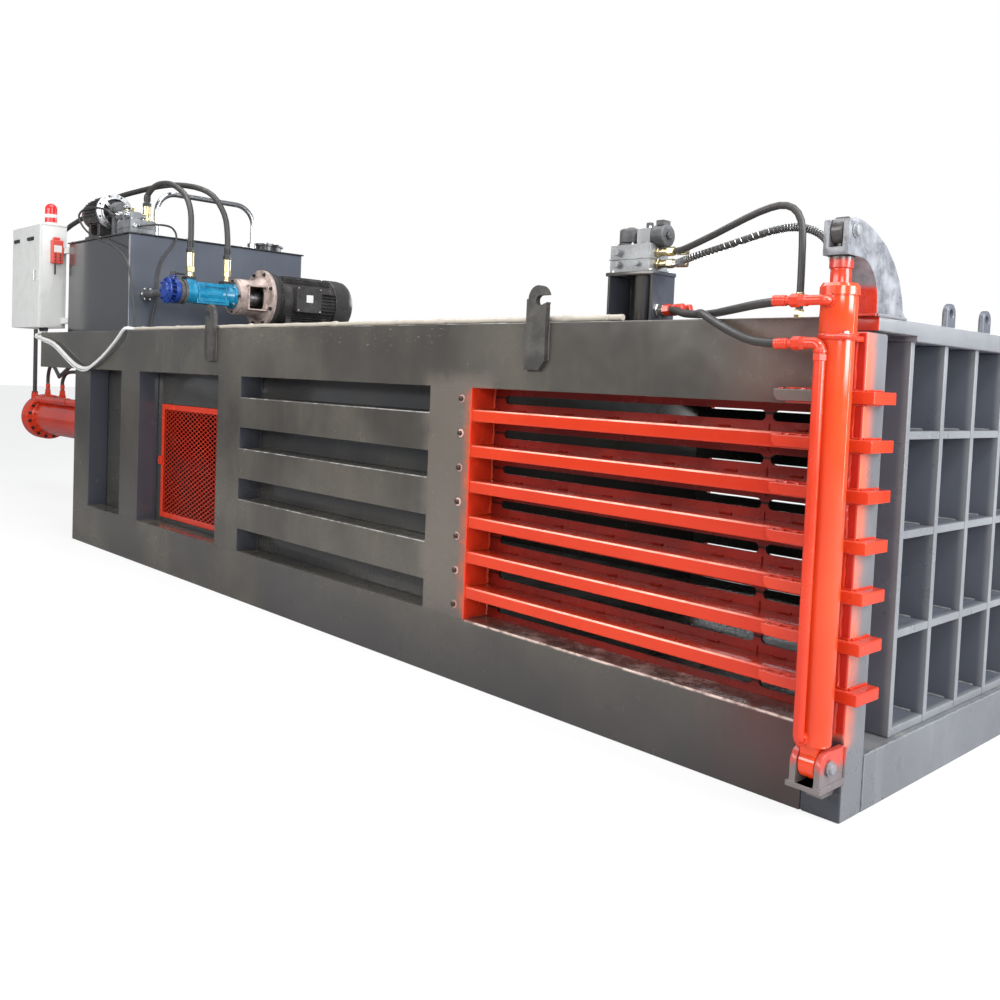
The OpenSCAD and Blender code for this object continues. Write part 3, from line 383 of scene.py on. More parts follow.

# paint: name of its material, its look, and the mists and painted light (shade, highlights, reflections) over it in
# order
enamels = {
    "frame_paint": ("frameEnamel", greys["frame"], [
        ((0.022, 0.024, 0.027), recessShade), ((0.056, 0.062, 0.080), coolSideReflection), ((0.15, 0.126, 0.108), jambWarm),
        ((0.046, 0.044, 0.046), lowShade), ((0.10, 0.020, 0.014), endMistAndShade), ((0.42, 0.41, 0.40), topScuffsAndGlints),
        ((0.34, 0.335, 0.325), ribEdgeWearAndHighlight), ((0.44, 0.085, 0.035), jambHaze), ((0.66, 0.038, 0.012), jambMist),
        ((0.17, 0.035, 0.022), ledgeMist), ((0.62, 0.46, 0.43), ledgeDust), ((0.60, 0.46, 0.40), ledgeEdgeHighlight),
        ((0.022, 0.020, 0.018), insideShade)]),
    "post_paint": ("postEnamel", {**greys["gate"], "colour": (0.15, 0.155, 0.165), "shade": (0.12, 0.123, 0.13)}, [
        ((0.70, 0.13, 0.055), postHaze), ((0.44, 0.020, 0.010), postMist), ((0.040, 0.043, 0.050), postFootShade)]),
    "gate_paint": ("gatePrimer", greys["gate"], [
        ((0.070, 0.076, 0.098), cellShade), ((0.052, 0.044, 0.050), gateFlankShade), (redTone, rootMist)]),
    "arm_paint": ("armPrimer", greys["arm"], [
        (redTone, lambda g: g.zone("armRoot", 0.03, 0.06)), (redTone, rootMist)]),
    # the tank's side faces are darker: painted shade
    "tank_paint": ("tankEnamel", greys["tank"], [((0.042, 0.042, 0.044), lambda g: g.sideFace(0.5, 0.8))]),
    "red_paint": ("redEnamel", reds),
    "bar_paint": ("barEnamel", {**reds, "colour": (0.56, 0.040, 0.011), "shade": (0.48, 0.030, 0.009), "runs": 0.02,
                                "speck": 0.0, "coat": 0.25, "settled": 0.0, "gloss": 0.35, "rough": (0.12, 0.22)}, [
        ((0.17, 0.010, 0.006), barBackShade), ((0.30, 0.014, 0.008), barEndShade), ((0.95, 0.48, 0.36), barEdgeHighlight)]),
    # a lighter, more orange copy of the red enamel, as painted light on the lift cylinders
    "cylinder_paint": ("cylinderEnamel", {**reds, "colour": (0.62, 0.058, 0.014), "shade": (0.54, 0.040, 0.010),
                                          "dust": (0.60, 0.13, 0.06), "rough": (0.08, 0.18), "coat": 0.6, "speck": 0.0,
                                          "runs": 0.04}),
    "finger_paint": ("fingerEnamel", {**reds, "colour": (0.58, 0.048, 0.013)}, [
        ((0.12, 0.085, 0.075), lambda g: g.zone("topFinger", 0.02, 0.03))]),
    # the main barrel darkens where it runs inside the walls: painted shade
    "barrel_paint": ("barrelEnamel", {**reds, "rough": (0.08, 0.2), "coat": 0.5}, [
        ((0.12, 0.010, 0.007), lambda g: g.span(g.along("x"), -3.6, -3.1))]),
    "foot_paint": ("footEnamel", {**greys["gate"], "colour": (0.175, 0.155, 0.155), "shade": (0.12, 0.10, 0.10)}, [
        (redTone, lambda g: g.times(g.zone("footTop", 0.03, 0.14), 0.8))]),
    "pump_paint": ("pumpEnamel", {"colour": (0.002, 0.24, 0.42), "shade": (0.0, 0.15, 0.28), "patch": 16, "speck": 0.03,
                                  "settled": 0.2, "dust": (0.05, 0.12, 0.16), "rough": (0.2, 0.4), "waves": 30,
                                  "waveDepth": 0.0012}),
    "valve_paint": ("valveEnamel", {"colour": (0.004, 0.040, 0.28), "shade": (0.003, 0.02, 0.13), "patch": 20,
                                    "speck": 0.03, "settled": 0.2, "dust": (0.05, 0.07, 0.13), "rough": (0.25, 0.45),
                                    "waves": 40, "waveDepth": 0.001}),
    # the liner's red is darkened as painted shade, for it stands deep behind the bars
    "liner_paint": ("linerEnamel", {**reds, "rough": (0.20, 0.36), "colour": (0.26, 0.014, 0.008),
                                    "shade": (0.15, 0.010, 0.006), "patch": 2.2, "runs": 0.0, "speck": 0.0,
                                    "settled": 0.0, "coat": 0.0, "gloss": 0.25}, [
        ((0.030, 0.010, 0.008), linerSlotShade), ((0.030, 0.030, 0.027), linerInsideShade)]),
    "bead_paint": ("beadPrimer", {**greys["gate"], "colour": (0.27, 0.275, 0.285), "shade": (0.2, 0.2, 0.21),
                                  "patch": 30}),
    "eye_paint": ("rodEyePrimer", {**greys["arm"], "colour": (0.060, 0.056, 0.056), "shade": (0.040, 0.036, 0.036),
                                   "dust": (0.14, 0.12, 0.12)}, [
        (redTone, lambda g: g.times(g.zone("rodEye", 0.008, 0.02), 0.8))]),
}


# cast and machined metal
def castIron(name, colour, dark, rough=(0.4, 0.65), metal=0.35, mists=()):
    g = Graph(name)
    grains = g.noise(120, 4, 0.7)
    stains = g.noise(9, 5, 0.7)
    tone = g.mix(g.span(stains, 0.38, 0.66), dark, colour)
    tone = g.mix(g.span(grains, 0.55, 0.75, 0, 0.35), tone, dark)
    for paint, mask in mists:
        tone = g.mix(mask(g), tone, paint)
    return g.give(colour=tone, rough=g.span(stains, 0.3, 0.7, *rough), metal=metal, normal=g.bump(grains, 0.0006))


def brightMetal(name, colour, rough=(0.1, 0.25), stretch=(1, 1, 60)):
    g = Graph(name)
    lines = g.noise(30, 3, 0.6, stretch)
    tone = g.mix(g.span(g.noise(7, 4), 0.3, 0.7), tuple(c * 0.82 for c in colour), colour)
    return g.give(colour=tone, rough=g.span(lines, 0.3, 0.7, *rough), metal=1.0, normal=g.bump(lines, 0.00003))


def moulded(name, colour, dust, rough=(0.35, 0.55), grain=0.0002, scale=420):
    g = Graph(name)
    grains = g.noise(scale, 3, 0.6)
    smear = g.noise(8, 5, 0.65)
    tone = g.mix(g.span(smear, 0.45, 0.75, 0, 0.4), colour, dust)
    return g.give(colour=tone, rough=g.span(smear, 0.3, 0.7, *rough), normal=g.bump(grains, grain))


castings = {
    "housing_iron": ("bellIron", (0.50, 0.40, 0.365), (0.24, 0.18, 0.16), (0.4, 0.65), 0.2),
    "valve_iron": ("valveIron", (0.13, 0.13, 0.135), (0.05, 0.05, 0.052)),
    # pale pinkish steel, lightened partly as a painted highlight; the head tops are dark as painted shade of a socket
    # hole
    "bolt_steel": ("boltSteel", (0.80, 0.52, 0.45), (0.40, 0.25, 0.21), (0.2, 0.4), 0.2, [
        ((0.045, 0.022, 0.018), lambda g: g.span(g.aside(), 0.9835, 0.9850))]),
    "manifold_paint": ("manifoldBody", (0.30, 0.31, 0.32), (0.16, 0.165, 0.17), (0.3, 0.5), 0.4),
    "bolt_dark": ("blackBolts", (0.06, 0.06, 0.062), (0.03, 0.03, 0.03), (0.35, 0.5), 0.7),
    "hook_steel": ("hookSteel", (0.085, 0.08, 0.075), (0.04, 0.037, 0.034), (0.35, 0.55), 0.3),
}
metals = {
    "rod_chrome": ("rodChrome", (0.74, 0.74, 0.76), (0.06, 0.16)),
    "shaft_steel": ("shaftSteel", (0.5, 0.5, 0.51), (0.2, 0.4), (60, 1, 60)),
    "zinc": ("zincPlate", (0.66, 0.66, 0.66), (0.18, 0.35)),
    "brass": ("yellowZinc", (0.66, 0.56, 0.34), (0.16, 0.34)),
    "pipe_grey": ("pipeSteel", (0.60, 0.61, 0.62), (0.16, 0.32)),
    "ring_metal": ("ringMetal", (0.70, 0.70, 0.71), (0.22, 0.42), (1, 1, 1)),
}
mouldings = {
    "motor_paint": ("motorEnamel", (0.036, 0.033, 0.032), (0.095, 0.09, 0.088), (0.22, 0.4), 0.0003, 150),
    "hose_black": ("hoseRubber", (0.032, 0.030, 0.029), (0.075, 0.068, 0.06), (0.38, 0.6), 0.0004, 90),
    "conduit_white": ("conduitPlastic", (0.40, 0.365, 0.31), (0.26, 0.23, 0.19)),
    "cable_grey": ("cableSheath", (0.52, 0.52, 0.51), (0.36, 0.36, 0.35)),
    "cabinet_paint": ("cabinetPowder", (0.56, 0.565, 0.55), (0.42, 0.42, 0.40), (0.3, 0.5), 0.0005, 160),
    "remote_red": ("remoteShell", (0.55, 0.06, 0.045), (0.4, 0.1, 0.07), (0.3, 0.5)),
    "lens_red": ("lensPlastic", (0.72, 0.02, 0.02), (0.5, 0.03, 0.03), (0.08, 0.2), 0.0001),
    "lamp_white": ("lampBase", (0.7, 0.69, 0.66), (0.45, 0.44, 0.42), (0.3, 0.5)),
    "black_plastic": ("blackPlastic", (0.02, 0.02, 0.021), (0.06, 0.06, 0.06), (0.3, 0.5)),
    "label_blank": ("blankPlate", (0.62, 0.62, 0.60), (0.5, 0.5, 0.5), (0.25, 0.4), 0.00005),
    "lid_paint": ("lidEnamel", (0.030, 0.031, 0.034), (0.10, 0.10, 0.10), (0.15, 0.35), 0.0002, 200),
}

finishes = {}
for kind, looks in ((enamel, enamels), (castIron, castings), (brightMetal, metals), (moulded, mouldings)):
    finishes.update({paint: kind(*look) for paint, look in looks.items()})
print("materials:", len(finishes))


# mesh helpers
def onAxis(axis, along, u, v):
    return {"x": (along, u, v), "y": (u, along, v), "z": (u, v, along)}[axis]


def onCircle(centre, radius, angle):
    return centre[0] + radius * math.cos(angle), centre[1] + radius * math.sin(angle)


def block(bm, x0, x1, y0, y1, z0, z1):
    for v in bmesh.ops.create_cube(bm, size=1)["verts"]:
        v.co = Vector(((x0, x1)[v.co.x > 0], (y0, y1)[v.co.y > 0], (z0, z1)[v.co.z > 0]))


def loopFaces(bm, a, b):
    # the quads between two rings of the same number of points
    n = len(a)
    return [bm.faces.new((a[k], a[(k + 1) % n], b[(k + 1) % n], b[k])) for k in range(n)]


def turned(bm, axis, centre, profile, sides=40):
    # a solid of revolution: profile holds (distance along the axis, radius)
    rings = []
    for along, radius in profile:
        turns = [2 * math.pi * k / sides for k in range(sides if radius > 1e-6 else 1)]
        rings.append([bm.verts.new(onAxis(axis, along, *onCircle(centre, radius, a))) for a in turns])
    faces = []
    for a, b in zip(rings, rings[1:]):
        if len(a) > 1 and len(b) > 1:
            faces += loopFaces(bm, a, b)
        elif len(a) > 1:
            faces += [bm.faces.new((a[k], a[(k + 1) % sides], b[0])) for k in range(sides)]
        elif len(b) > 1:
            faces += [bm.faces.new((a[0], b[(k + 1) % sides], b[k])) for k in range(sides)]
    faces += [bm.faces.new(ring) for ring in (rings[0], rings[-1]) if len(ring) > 1]
    bmesh.ops.recalc_face_normals(bm, faces=faces)


def rod(bm, axis, centre, start, end, radius, chamfer=0.0, sides=40):
    profile = [(start, radius), (end, radius)]
    if chamfer:
        profile = [(start, radius - chamfer), (start + chamfer, radius), (end - chamfer, radius),
                   (end, radius - chamfer)]
    turned(bm, axis, centre, profile, sides)


def rods(bm, axis, centre, *steps):
    for step in steps:
        rod(bm, axis, centre, *step)


def plate(bm, outline, axis, start, end):
    # an outline in the two other axes, in X Y Z order, made into a plate along the axis
    a, b = [[bm.verts.new(onAxis(axis, along, *p)) for p in outline] for along in (start, end)]
    bmesh.ops.recalc_face_normals(bm, faces=[bm.faces.new(a), bm.faces.new(b)] + loopFaces(bm, a, b))


def smoothPath(points, steps):
    # a Catmull-Rom line through the route, with even steps between its points
    p = [Vector(q) for q in points]
    line = []
    for i in range(len(p) - 1):
        a, b, c, d = p[max(i - 1, 0)], p[i], p[i + 1], p[min(i + 2, len(p) - 1)]
        for k in range(steps):
            t = k / steps
            square, cube = (2 * a - 5 * b + 4 * c - d) * t ** 2, (3 * b - a - 3 * c + d) * t ** 3
            line.append(0.5 * ((2 * b) + (c - a) * t + square + cube))
    line.append(p[-1])
    return line


def sweep(bm, line, radius, sides=14):
    # a round tube along a line; radius is a number or a function of the point's number
    size = radius if callable(radius) else (lambda i: radius)
    rings, side = [], None
    for i, point in enumerate(line):
        ahead = (line[min(i + 1, len(line) - 1)] - line[max(i - 1, 0)]).normalized()
        if side is None:
            side = ahead.cross(Vector((0, 0, 1)) if abs(ahead.z) < 0.9 else Vector((0, 1, 0))).normalized()
        side = (side - ahead * side.dot(ahead)).normalized()
        other = ahead.cross(side)
        turns = [2 * math.pi * k / sides for k in range(sides)]
        rings.append([bm.verts.new(point + size(i) * (side * math.cos(a) + other * math.sin(a))) for a in turns])
    faces = []
    for a, b in zip(rings, rings[1:]):
        faces += loopFaces(bm, a, b)
    bmesh.ops.recalc_face_normals(bm, faces=faces + [bm.faces.new(rings[0]), bm.faces.new(rings[-1])])


def mirrored(bm):
    # the same again on the far side
    whole = bmesh.ops.duplicate(bm, geom=bm.verts[:] + bm.edges[:] + bm.faces[:])["geom"]
    for v in whole:
        if isinstance(v, bmesh.types.BMVert):
            v.co.y = -v.co.y
    bmesh.ops.reverse_faces(bm, faces=[f for f in whole if isinstance(f, bmesh.types.BMFace)])


def settle(obj):
    # the modifiers' result becomes a plain mesh
    shape = bpy.data.meshes.new_from_object(obj.evaluated_get(bpy.context.evaluated_depsgraph_get()))
    obj.modifiers.clear()
    obj.data = shape
    return obj


def addMesh(bm, other, turn=None):
    if turn is not None:
        other.transform(turn)
    holder = bpy.data.meshes.new("holder")
    other.to_mesh(holder)
    other.free()
    bm.from_mesh(holder)
    bpy.data.meshes.remove(holder)


def spokes(bm, place, axis, angles, *box):
    # the same block at several angles round an axis
    for angle in angles:
        one = bmesh.new()
        block(one, *box)
        addMesh(bm, one, Matrix.Translation(place) @ Matrix.Rotation(math.radians(angle), 4, axis))


def lines(bm, *runs):
    for run in runs:
        made = [bm.verts.new(p) for p in run]
        for a, b in zip(made, made[1:]):
            bm.edges.new((a, b))


def circleDots(axis, centre, along, radius, count, phase=0.0):
    turns = [math.radians(phase) + 2 * math.pi * k / count for k in range(count)]
    return [onAxis(axis, along, *onCircle(centre, radius, a)) for a in turns]


def arc(centre, radius, start, end, steps):
    # points on an arc, angles in degrees
    return [onCircle(centre, radius, math.radians(start + (end - start) * k / steps)) for k in range(steps + 1)]


def newObject(bm, name):
    mesh = bpy.data.meshes.new(name)
    bm.to_mesh(mesh)
    bm.free()
    obj = bpy.data.objects.new(name, mesh)
    scene.collection.objects.link(obj)
    return obj


def dress(obj, body, replaced):
    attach(obj, body)
    if replaced:
        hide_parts(*replaced)
    return obj


def finishPiece(bm, name, paint, replaced=(), bevel=0.0, steps=2, angle=32, body="press"):
    obj = newObject(bm, name)
    obj.data.materials.append(finishes[paint])
    obj.data.polygons.foreach_set("use_smooth", [True] * len(obj.data.polygons))
    if bevel:
        edges = obj.modifiers.new("edges", "BEVEL")
        edges.width, edges.segments = bevel, steps
        edges.limit_method, edges.angle_limit = "ANGLE", math.radians(angle)
        edges.harden_normals = edges.use_clamp_overlap = True
        settle(obj)
    else:
        obj.data.set_sharp_from_angle(angle=math.radians(angle))
    return dress(obj, body, replaced)


bodyOf = {n: b for b, members in frame["record"]["behaviour"]["bodies"].items() for n in members}


def rounded(node, paint, bevel=0.003, name=None):
    # a CAD node with its edges broken, in its own finish
    bm = bmesh.new()
    bm.from_mesh(frame["nodes"][node].data)
    bmesh.ops.remove_doubles(bm, verts=bm.verts, dist=1e-5)
    bmesh.ops.dissolve_limit(bm, angle_limit=math.radians(0.4), verts=bm.verts, edges=bm.edges)
    return finishPiece(bm, name or node + "_shell", paint, [node], bevel, body=bodyOf[node])


# hoses and cables: the routes of the frame's own cords
pumpX = -2.285
hoses = {
    "pumpHoseLeft": {"node": "pump_hose_left", "d": 0.044, "ends": "black_plastic", "route": [
        (pumpX, -0.254, 2.301), (pumpX, -0.254, 2.363), (-2.290, -0.256, 2.500), (-2.320, -0.270, 2.650),
        (-2.420, -0.320, 2.800), (-2.620, -0.380, 2.880), (-3.000, -0.420, 2.930), (-3.450, -0.450, 2.930),
        (-3.880, -0.500, 2.900), (-4.300, -0.480, 2.840), (-5.100, -0.420, 2.780), (-6.000, -0.290, 2.680),
        (-6.550, -0.190, 2.520), (-6.820, -0.145, 2.260), (-6.895, -0.134, 1.950), (-6.895, -0.134, 1.190),
        (-6.895, -0.134, 1.110)]},
    "pumpHoseRight": {"node": "pump_hose_right", "d": 0.044, "ends": "black_plastic", "route": [
        (pumpX, -0.560, 2.321), (pumpX, -0.560, 2.383), (-2.290, -0.556, 2.500), (-2.330, -0.545, 2.640),
        (-2.440, -0.530, 2.760), (-2.560, -0.535, 2.835), (-2.690, -0.550, 2.885), (-2.830, -0.570, 2.895),
        (-2.925, -0.585, 2.868), (-2.995, -0.600, 2.806), (-2.987, -0.600, 2.766), (-2.987, -0.600, 2.726)]},
    "gateHoseFront": {"node": "gate_hose_front", "d": 0.026, "route": [
        (2.477, -0.840, 1.985), (2.525, -0.840, 1.985), (2.600, -0.875, 1.990), (2.760, -0.930, 2.020),
        (2.969, -0.960, 2.080), (3.070, -0.945, 2.095), (3.120, -0.930, 2.040), (3.128, -0.925, 1.900),
        (3.128, -0.925, 1.700)]},
    "gateHoseRear": {"node": "gate_hose_rear", "d": 0.026, "guard": True, "route": [
        (2.477, -0.840, 1.937), (2.525, -0.840, 1.937), (2.600, -0.865, 1.948), (2.763, -0.890, 1.975),
        (2.996, -0.900, 2.020), (3.116, -0.900, 2.019), (3.200, -0.900, 1.975), (3.236, -0.900, 1.890),
        (3.240, -0.900, 1.790), (3.240, -0.900, 1.700)]},
    "upperPortHose": {"node": "upper_port_hose", "d": 0.030, "ends": "red_paint", "route": [
        (2.485, -0.810, 1.750), (2.529, -0.810, 1.750), (2.620, -0.842, 1.730), (2.769, -0.940, 1.722),
        (2.930, -1.050, 1.724), (3.098, -1.140, 1.732), (3.215, -1.169, 1.737), (3.269, -1.169, 1.737)]},
    "sidePipeHose": {"node": "side_pipe_hose", "d": 0.030, "ends": "red_paint", "route": [
        (2.485, -0.860, 1.750), (2.529, -0.860, 1.750), (2.610, -0.892, 1.730), (2.700, -0.942, 1.722),
        (2.760, -0.992, 1.721), (2.830, -1.040, 1.698), (2.950, -1.090, 1.650), (3.090, -1.140, 1.608),
        (3.231, -1.165, 1.600), (3.281, -1.165, 1.600)]},
    "ramHoseLeft": {"node": "ram_hose_left", "d": 0.038, "ends": "red_paint", "route": [
        (-4.224, -0.500, 1.560), (-4.304, -0.500, 1.560), (-4.420, -0.500, 1.552), (-4.900, -0.450, 1.440),
        (-5.600, -0.320, 1.310), (-6.100, -0.160, 1.310), (-6.560, -0.050, 1.400), (-6.790, -0.010, 1.390),
        (-6.875, 0.0, 1.290), (-6.875, 0.0, 1.170), (-6.875, 0.0, 1.110)]},
    "ramHoseMid": {"node": "ram_hose_mid", "d": 0.038, "ends": "red_paint", "route": [
        (-4.224, -0.300, 1.560), (-4.304, -0.300, 1.560), (-4.420, -0.298, 1.548), (-4.900, -0.200, 1.410),
        (-5.500, -0.060, 1.330), (-6.050, 0.010, 1.350), (-6.330, 0.005, 1.330), (-6.430, 0.0, 1.240),
        (-6.430, 0.0, 1.160), (-6.430, 0.0, 1.110)]},
    "cabinetCable": {"node": "cabinet_cable", "d": 0.024, "stiff": "medium", "paint": "cable_grey",
                     "strands": [(-0.010, 0.018, 0.005), (0.004, -0.014, 0.004)], "route": [
        (-4.367, -0.890, 1.750), (-4.367, -0.890, 1.715), (-4.345, -0.940, 1.692), (-4.262, -1.008, 1.676),
        (-4.170, -1.012, 1.655), (-3.820, -1.012, 1.600), (-3.544, -1.012, 1.500), (-3.322, -1.012, 1.425),
        (-3.112, -1.012, 1.402), (-2.940, -1.012, 1.445), (-2.722, -1.012, 1.530), (-2.521, -1.010, 1.635),
        (-2.425, -0.992, 1.716), (-2.350, -0.958, 1.714), (-2.300, -0.958, 1.714)]},
    "tankCableShort": {"node": "tank_cable", "d": 0.016, "stiff": "medium", "route": [
        (-2.917, -0.700, 2.551), (-2.882, -0.700, 2.551), (-2.853, -0.655, 2.560), (-2.845, -0.580, 2.574),
        (-2.845, -0.500, 2.577), (-2.845, -0.450, 2.565), (-2.845, -0.417, 2.525), (-2.845, -0.414, 2.480),
        (-2.845, -0.434, 2.430), (-2.845, -0.512, 2.324), (-2.845, -0.548, 2.228), (-2.845, -0.560, 2.116),
        (-2.845, -0.566, 1.986), (-2.845, -0.600, 1.801), (-2.845, -0.606, 1.760), (-2.845, -0.606, 1.700)]},
    "tankCable": {"node": "tank_cable", "d": 0.016, "stiff": "medium", "route": [
        (-3.117, -0.800, 2.646), (-3.117, -0.835, 2.646), (-3.200, -0.850, 2.690), (-3.546, -0.855, 2.735),
        (-3.745, -0.855, 2.690), (-3.645, -0.852, 2.581), (-3.406, -0.848, 2.480), (-3.057, -0.845, 2.391),
        (-2.790, -0.845, 2.270), (-2.670, -0.850, 2.100), (-2.600, -0.850, 1.880), (-2.590, -0.850, 1.760),
        (-2.590, -0.850, 1.700)]},
}


def ferrule(bm, line, diameter, long=0.09):
    # crimped sleeve, neck and hexagon nut where a hose's line starts
    start, ahead = line[0], (line[1] - line[0]).normalized()
    turn = Vector((0, 0, 1)).rotation_difference(ahead).to_matrix().to_4x4()
    made = bmesh.new()
    r = diameter / 2
    rings = [(0.0, r * 0.9), (0.002, r * 1.25), (0.03, r * 1.25), (0.032, r * 0.95), (0.042, r * 0.95)]
    for k in range(5):
        rings += [(0.044 + k * 0.009, r * 1.22), (0.049 + k * 0.009, r * 1.22), (0.051 + k * 0.009, r * 1.15)]
    rings += [(long, r * 1.15), (long + 0.002, r * 0.9)]
    turned(made, "z", (0, 0), rings, 18)
    turned(made, "z", (0, 0), [(-0.004, r * 1.3), (0.0, r * 1.5), (0.026, r * 1.5), (0.03, r * 1.3)], 6)
    addMesh(bm, made, Matrix.Translation(start) @ turn)


def layHose(name, spec):
    line = smoothPath(spec["route"], 3)
    bm = bmesh.new()
    sweep(bm, line, spec["d"] / 2, 16)
    paint = spec.get("paint", "hose_black")
    tube = finishPiece(bm, name, paint, [spec["node"]], angle=60)
    if spec.get("strands"):
        # thin cables tied beside the thick one
        bm = bmesh.new()
        for side, drop, thin in spec["strands"]:
            sag = [p + Vector((0, side, -drop * math.sin(math.pi * i / (len(line) - 1)))) for i, p in enumerate(line)]
            sweep(bm, sag[2:], thin, 8)
        finishPiece(bm, name + "Strands", "cable_grey", angle=60)
    if paint == "hose_black" and spec["d"] > 0.02:
        bm = bmesh.new()
        ferrule(bm, line, spec["d"])
        ferrule(bm, line[::-1], spec["d"])
        finishPiece(bm, name + "Ends", spec.get("ends", "brass"))
    if spec.get("guard"):
        # a coil spring slipped over the hose
        bm = bmesh.new()
        fine = smoothPath(spec["route"], 60)
        side, wind = Vector((0, 0, 1)), []
        for i, p in enumerate(fine):
            ahead = (fine[min(i + 1, len(fine) - 1)] - fine[max(i - 1, 0)]).normalized()
            side = (side - ahead * side.dot(ahead)).normalized()
            turn = i * 2 * math.pi / 6
            wind.append(p + (spec["d"] / 2 + 0.0015) * (side * math.cos(turn) + ahead.cross(side) * math.sin(turn)))
        sweep(bm, wind[40:-30], 0.0017, 4)
        finishPiece(bm, name + "Spring", "zinc")
    length = sum((b - a).length for a, b in zip(line, line[1:]))
    return length


for hoseName, spec in hoses.items():
    print("hose", hoseName, round(layHose(hoseName, spec), 3))


# geometry-nodes recipes for what repeats: weld beads, bolts, fins, mesh strands
class Recipe:
    kinds = {float: "Float", int: "Int", tuple: "Vector", bpy.types.Material: "Material"}

    def __init__(self, name, inputs):
        self.tree = bpy.data.node_groups.new(name, "GeometryNodeTree")
        sockets = self.tree.interface
        sockets.new_socket("Geometry", in_out="INPUT", socket_type="NodeSocketGeometry")
        self.keys = {}
        for label, kind in inputs.items():
            made = sockets.new_socket(label, in_out="INPUT", socket_type="NodeSocket" + self.kinds[kind])
            self.keys[label] = made.identifier
        sockets.new_socket("Geometry", in_out="OUTPUT", socket_type="NodeSocketGeometry")
        self.given = self.tree.nodes.new("NodeGroupInput").outputs
        self.result = self.tree.nodes.new("NodeGroupOutput")

    def node(self, kind, inputs, **settings):
        made = self.tree.nodes.new(kind)
        for key, value in settings.items():
            setattr(made, key, value)
        for label, value in inputs.items():
            for part in value if isinstance(value, list) else [value]:
                self.feed(next(s for s in made.inputs if s.name == label and s.enabled), part)
        return made.outputs[0]

    def feed(self, socket, value):
        if isinstance(value, bpy.types.NodeSocket):
            self.tree.links.new(value, socket)
        else:
            socket.default_value = value

    def maths(self, operation, a, b, kind="ShaderNodeMath"):
        made = self.tree.nodes.new(kind)
        made.operation = operation
        for socket, value in zip(made.inputs, (a, b)):
            self.feed(socket, value)
        return made.outputs[0]

    def end(self, shape):
        shape = self.node("GeometryNodeRealizeInstances", {"Geometry": shape})
        shape = self.node("GeometryNodeSetMaterial", {"Geometry": shape, "Material": self.given["Paint"]})
        self.tree.links.new(shape, self.result.inputs[0])

    def grow(self, bm, name, paint, replaced=(), body="press", angle=40, **values):
        # runs the recipe on a mesh of points or edges and keeps the result as a plain mesh
        obj = newObject(bm, name)
        step = obj.modifiers.new("grow", "NODES")
        step.node_group = self.tree
        step[self.keys["Paint"]] = finishes[paint]
        for label, value in values.items():
            step[self.keys[label]] = value
        settle(obj)
        obj.data.polygons.foreach_set("use_smooth", [True] * len(obj.data.polygons))
        obj.data.set_sharp_from_angle(angle=math.radians(angle))
        return dress(obj, body, replaced)

    def at(self, places, *words, **values):
        bm = bmesh.new()
        for p in places:
            bm.verts.new(p)
        return self.grow(bm, *words, **values)


def beadRecipe():
    # a ripple of weld metal along every edge it is given
    r = Recipe("weldBead", {"Thick": float, "Step": float, "Wander": float, "Paint": bpy.types.Material})
    line = r.node("GeometryNodeMeshToCurve", {"Mesh": r.given["Geometry"]})
    line = r.node("GeometryNodeResampleCurve", {"Curve": line, "Length": r.given["Step"]}, mode="LENGTH")
    drift = r.tree.nodes.new("ShaderNodeTexNoise")
    drift.inputs["Scale"].default_value = 28
    offset = r.maths("SUBTRACT", drift.outputs["Color"], (0.5, 0.5, 0.5), "ShaderNodeVectorMath")
    scaled = r.tree.nodes.new("ShaderNodeVectorMath")
    scaled.operation = "SCALE"
    r.tree.links.new(offset, scaled.inputs[0])
    r.tree.links.new(r.given["Wander"], scaled.inputs["Scale"])
    line = r.node("GeometryNodeSetPosition", {"Geometry": line, "Offset": scaled.outputs[0]})
    ripple = r.tree.nodes.new("ShaderNodeTexNoise")
    ripple.inputs["Scale"].default_value = 95
    size = r.maths("ADD", r.maths("MULTIPLY", ripple.outputs[0], 1.1), 0.45)
    ring = r.node("GeometryNodeCurvePrimitiveCircle", {"Resolution": 6, "Radius": r.given["Thick"]})
    r.end(r.node("GeometryNodeCurveToMesh", {"Curve": line, "Profile Curve": ring, "Scale": size, "Fill Caps": True}))
    return r


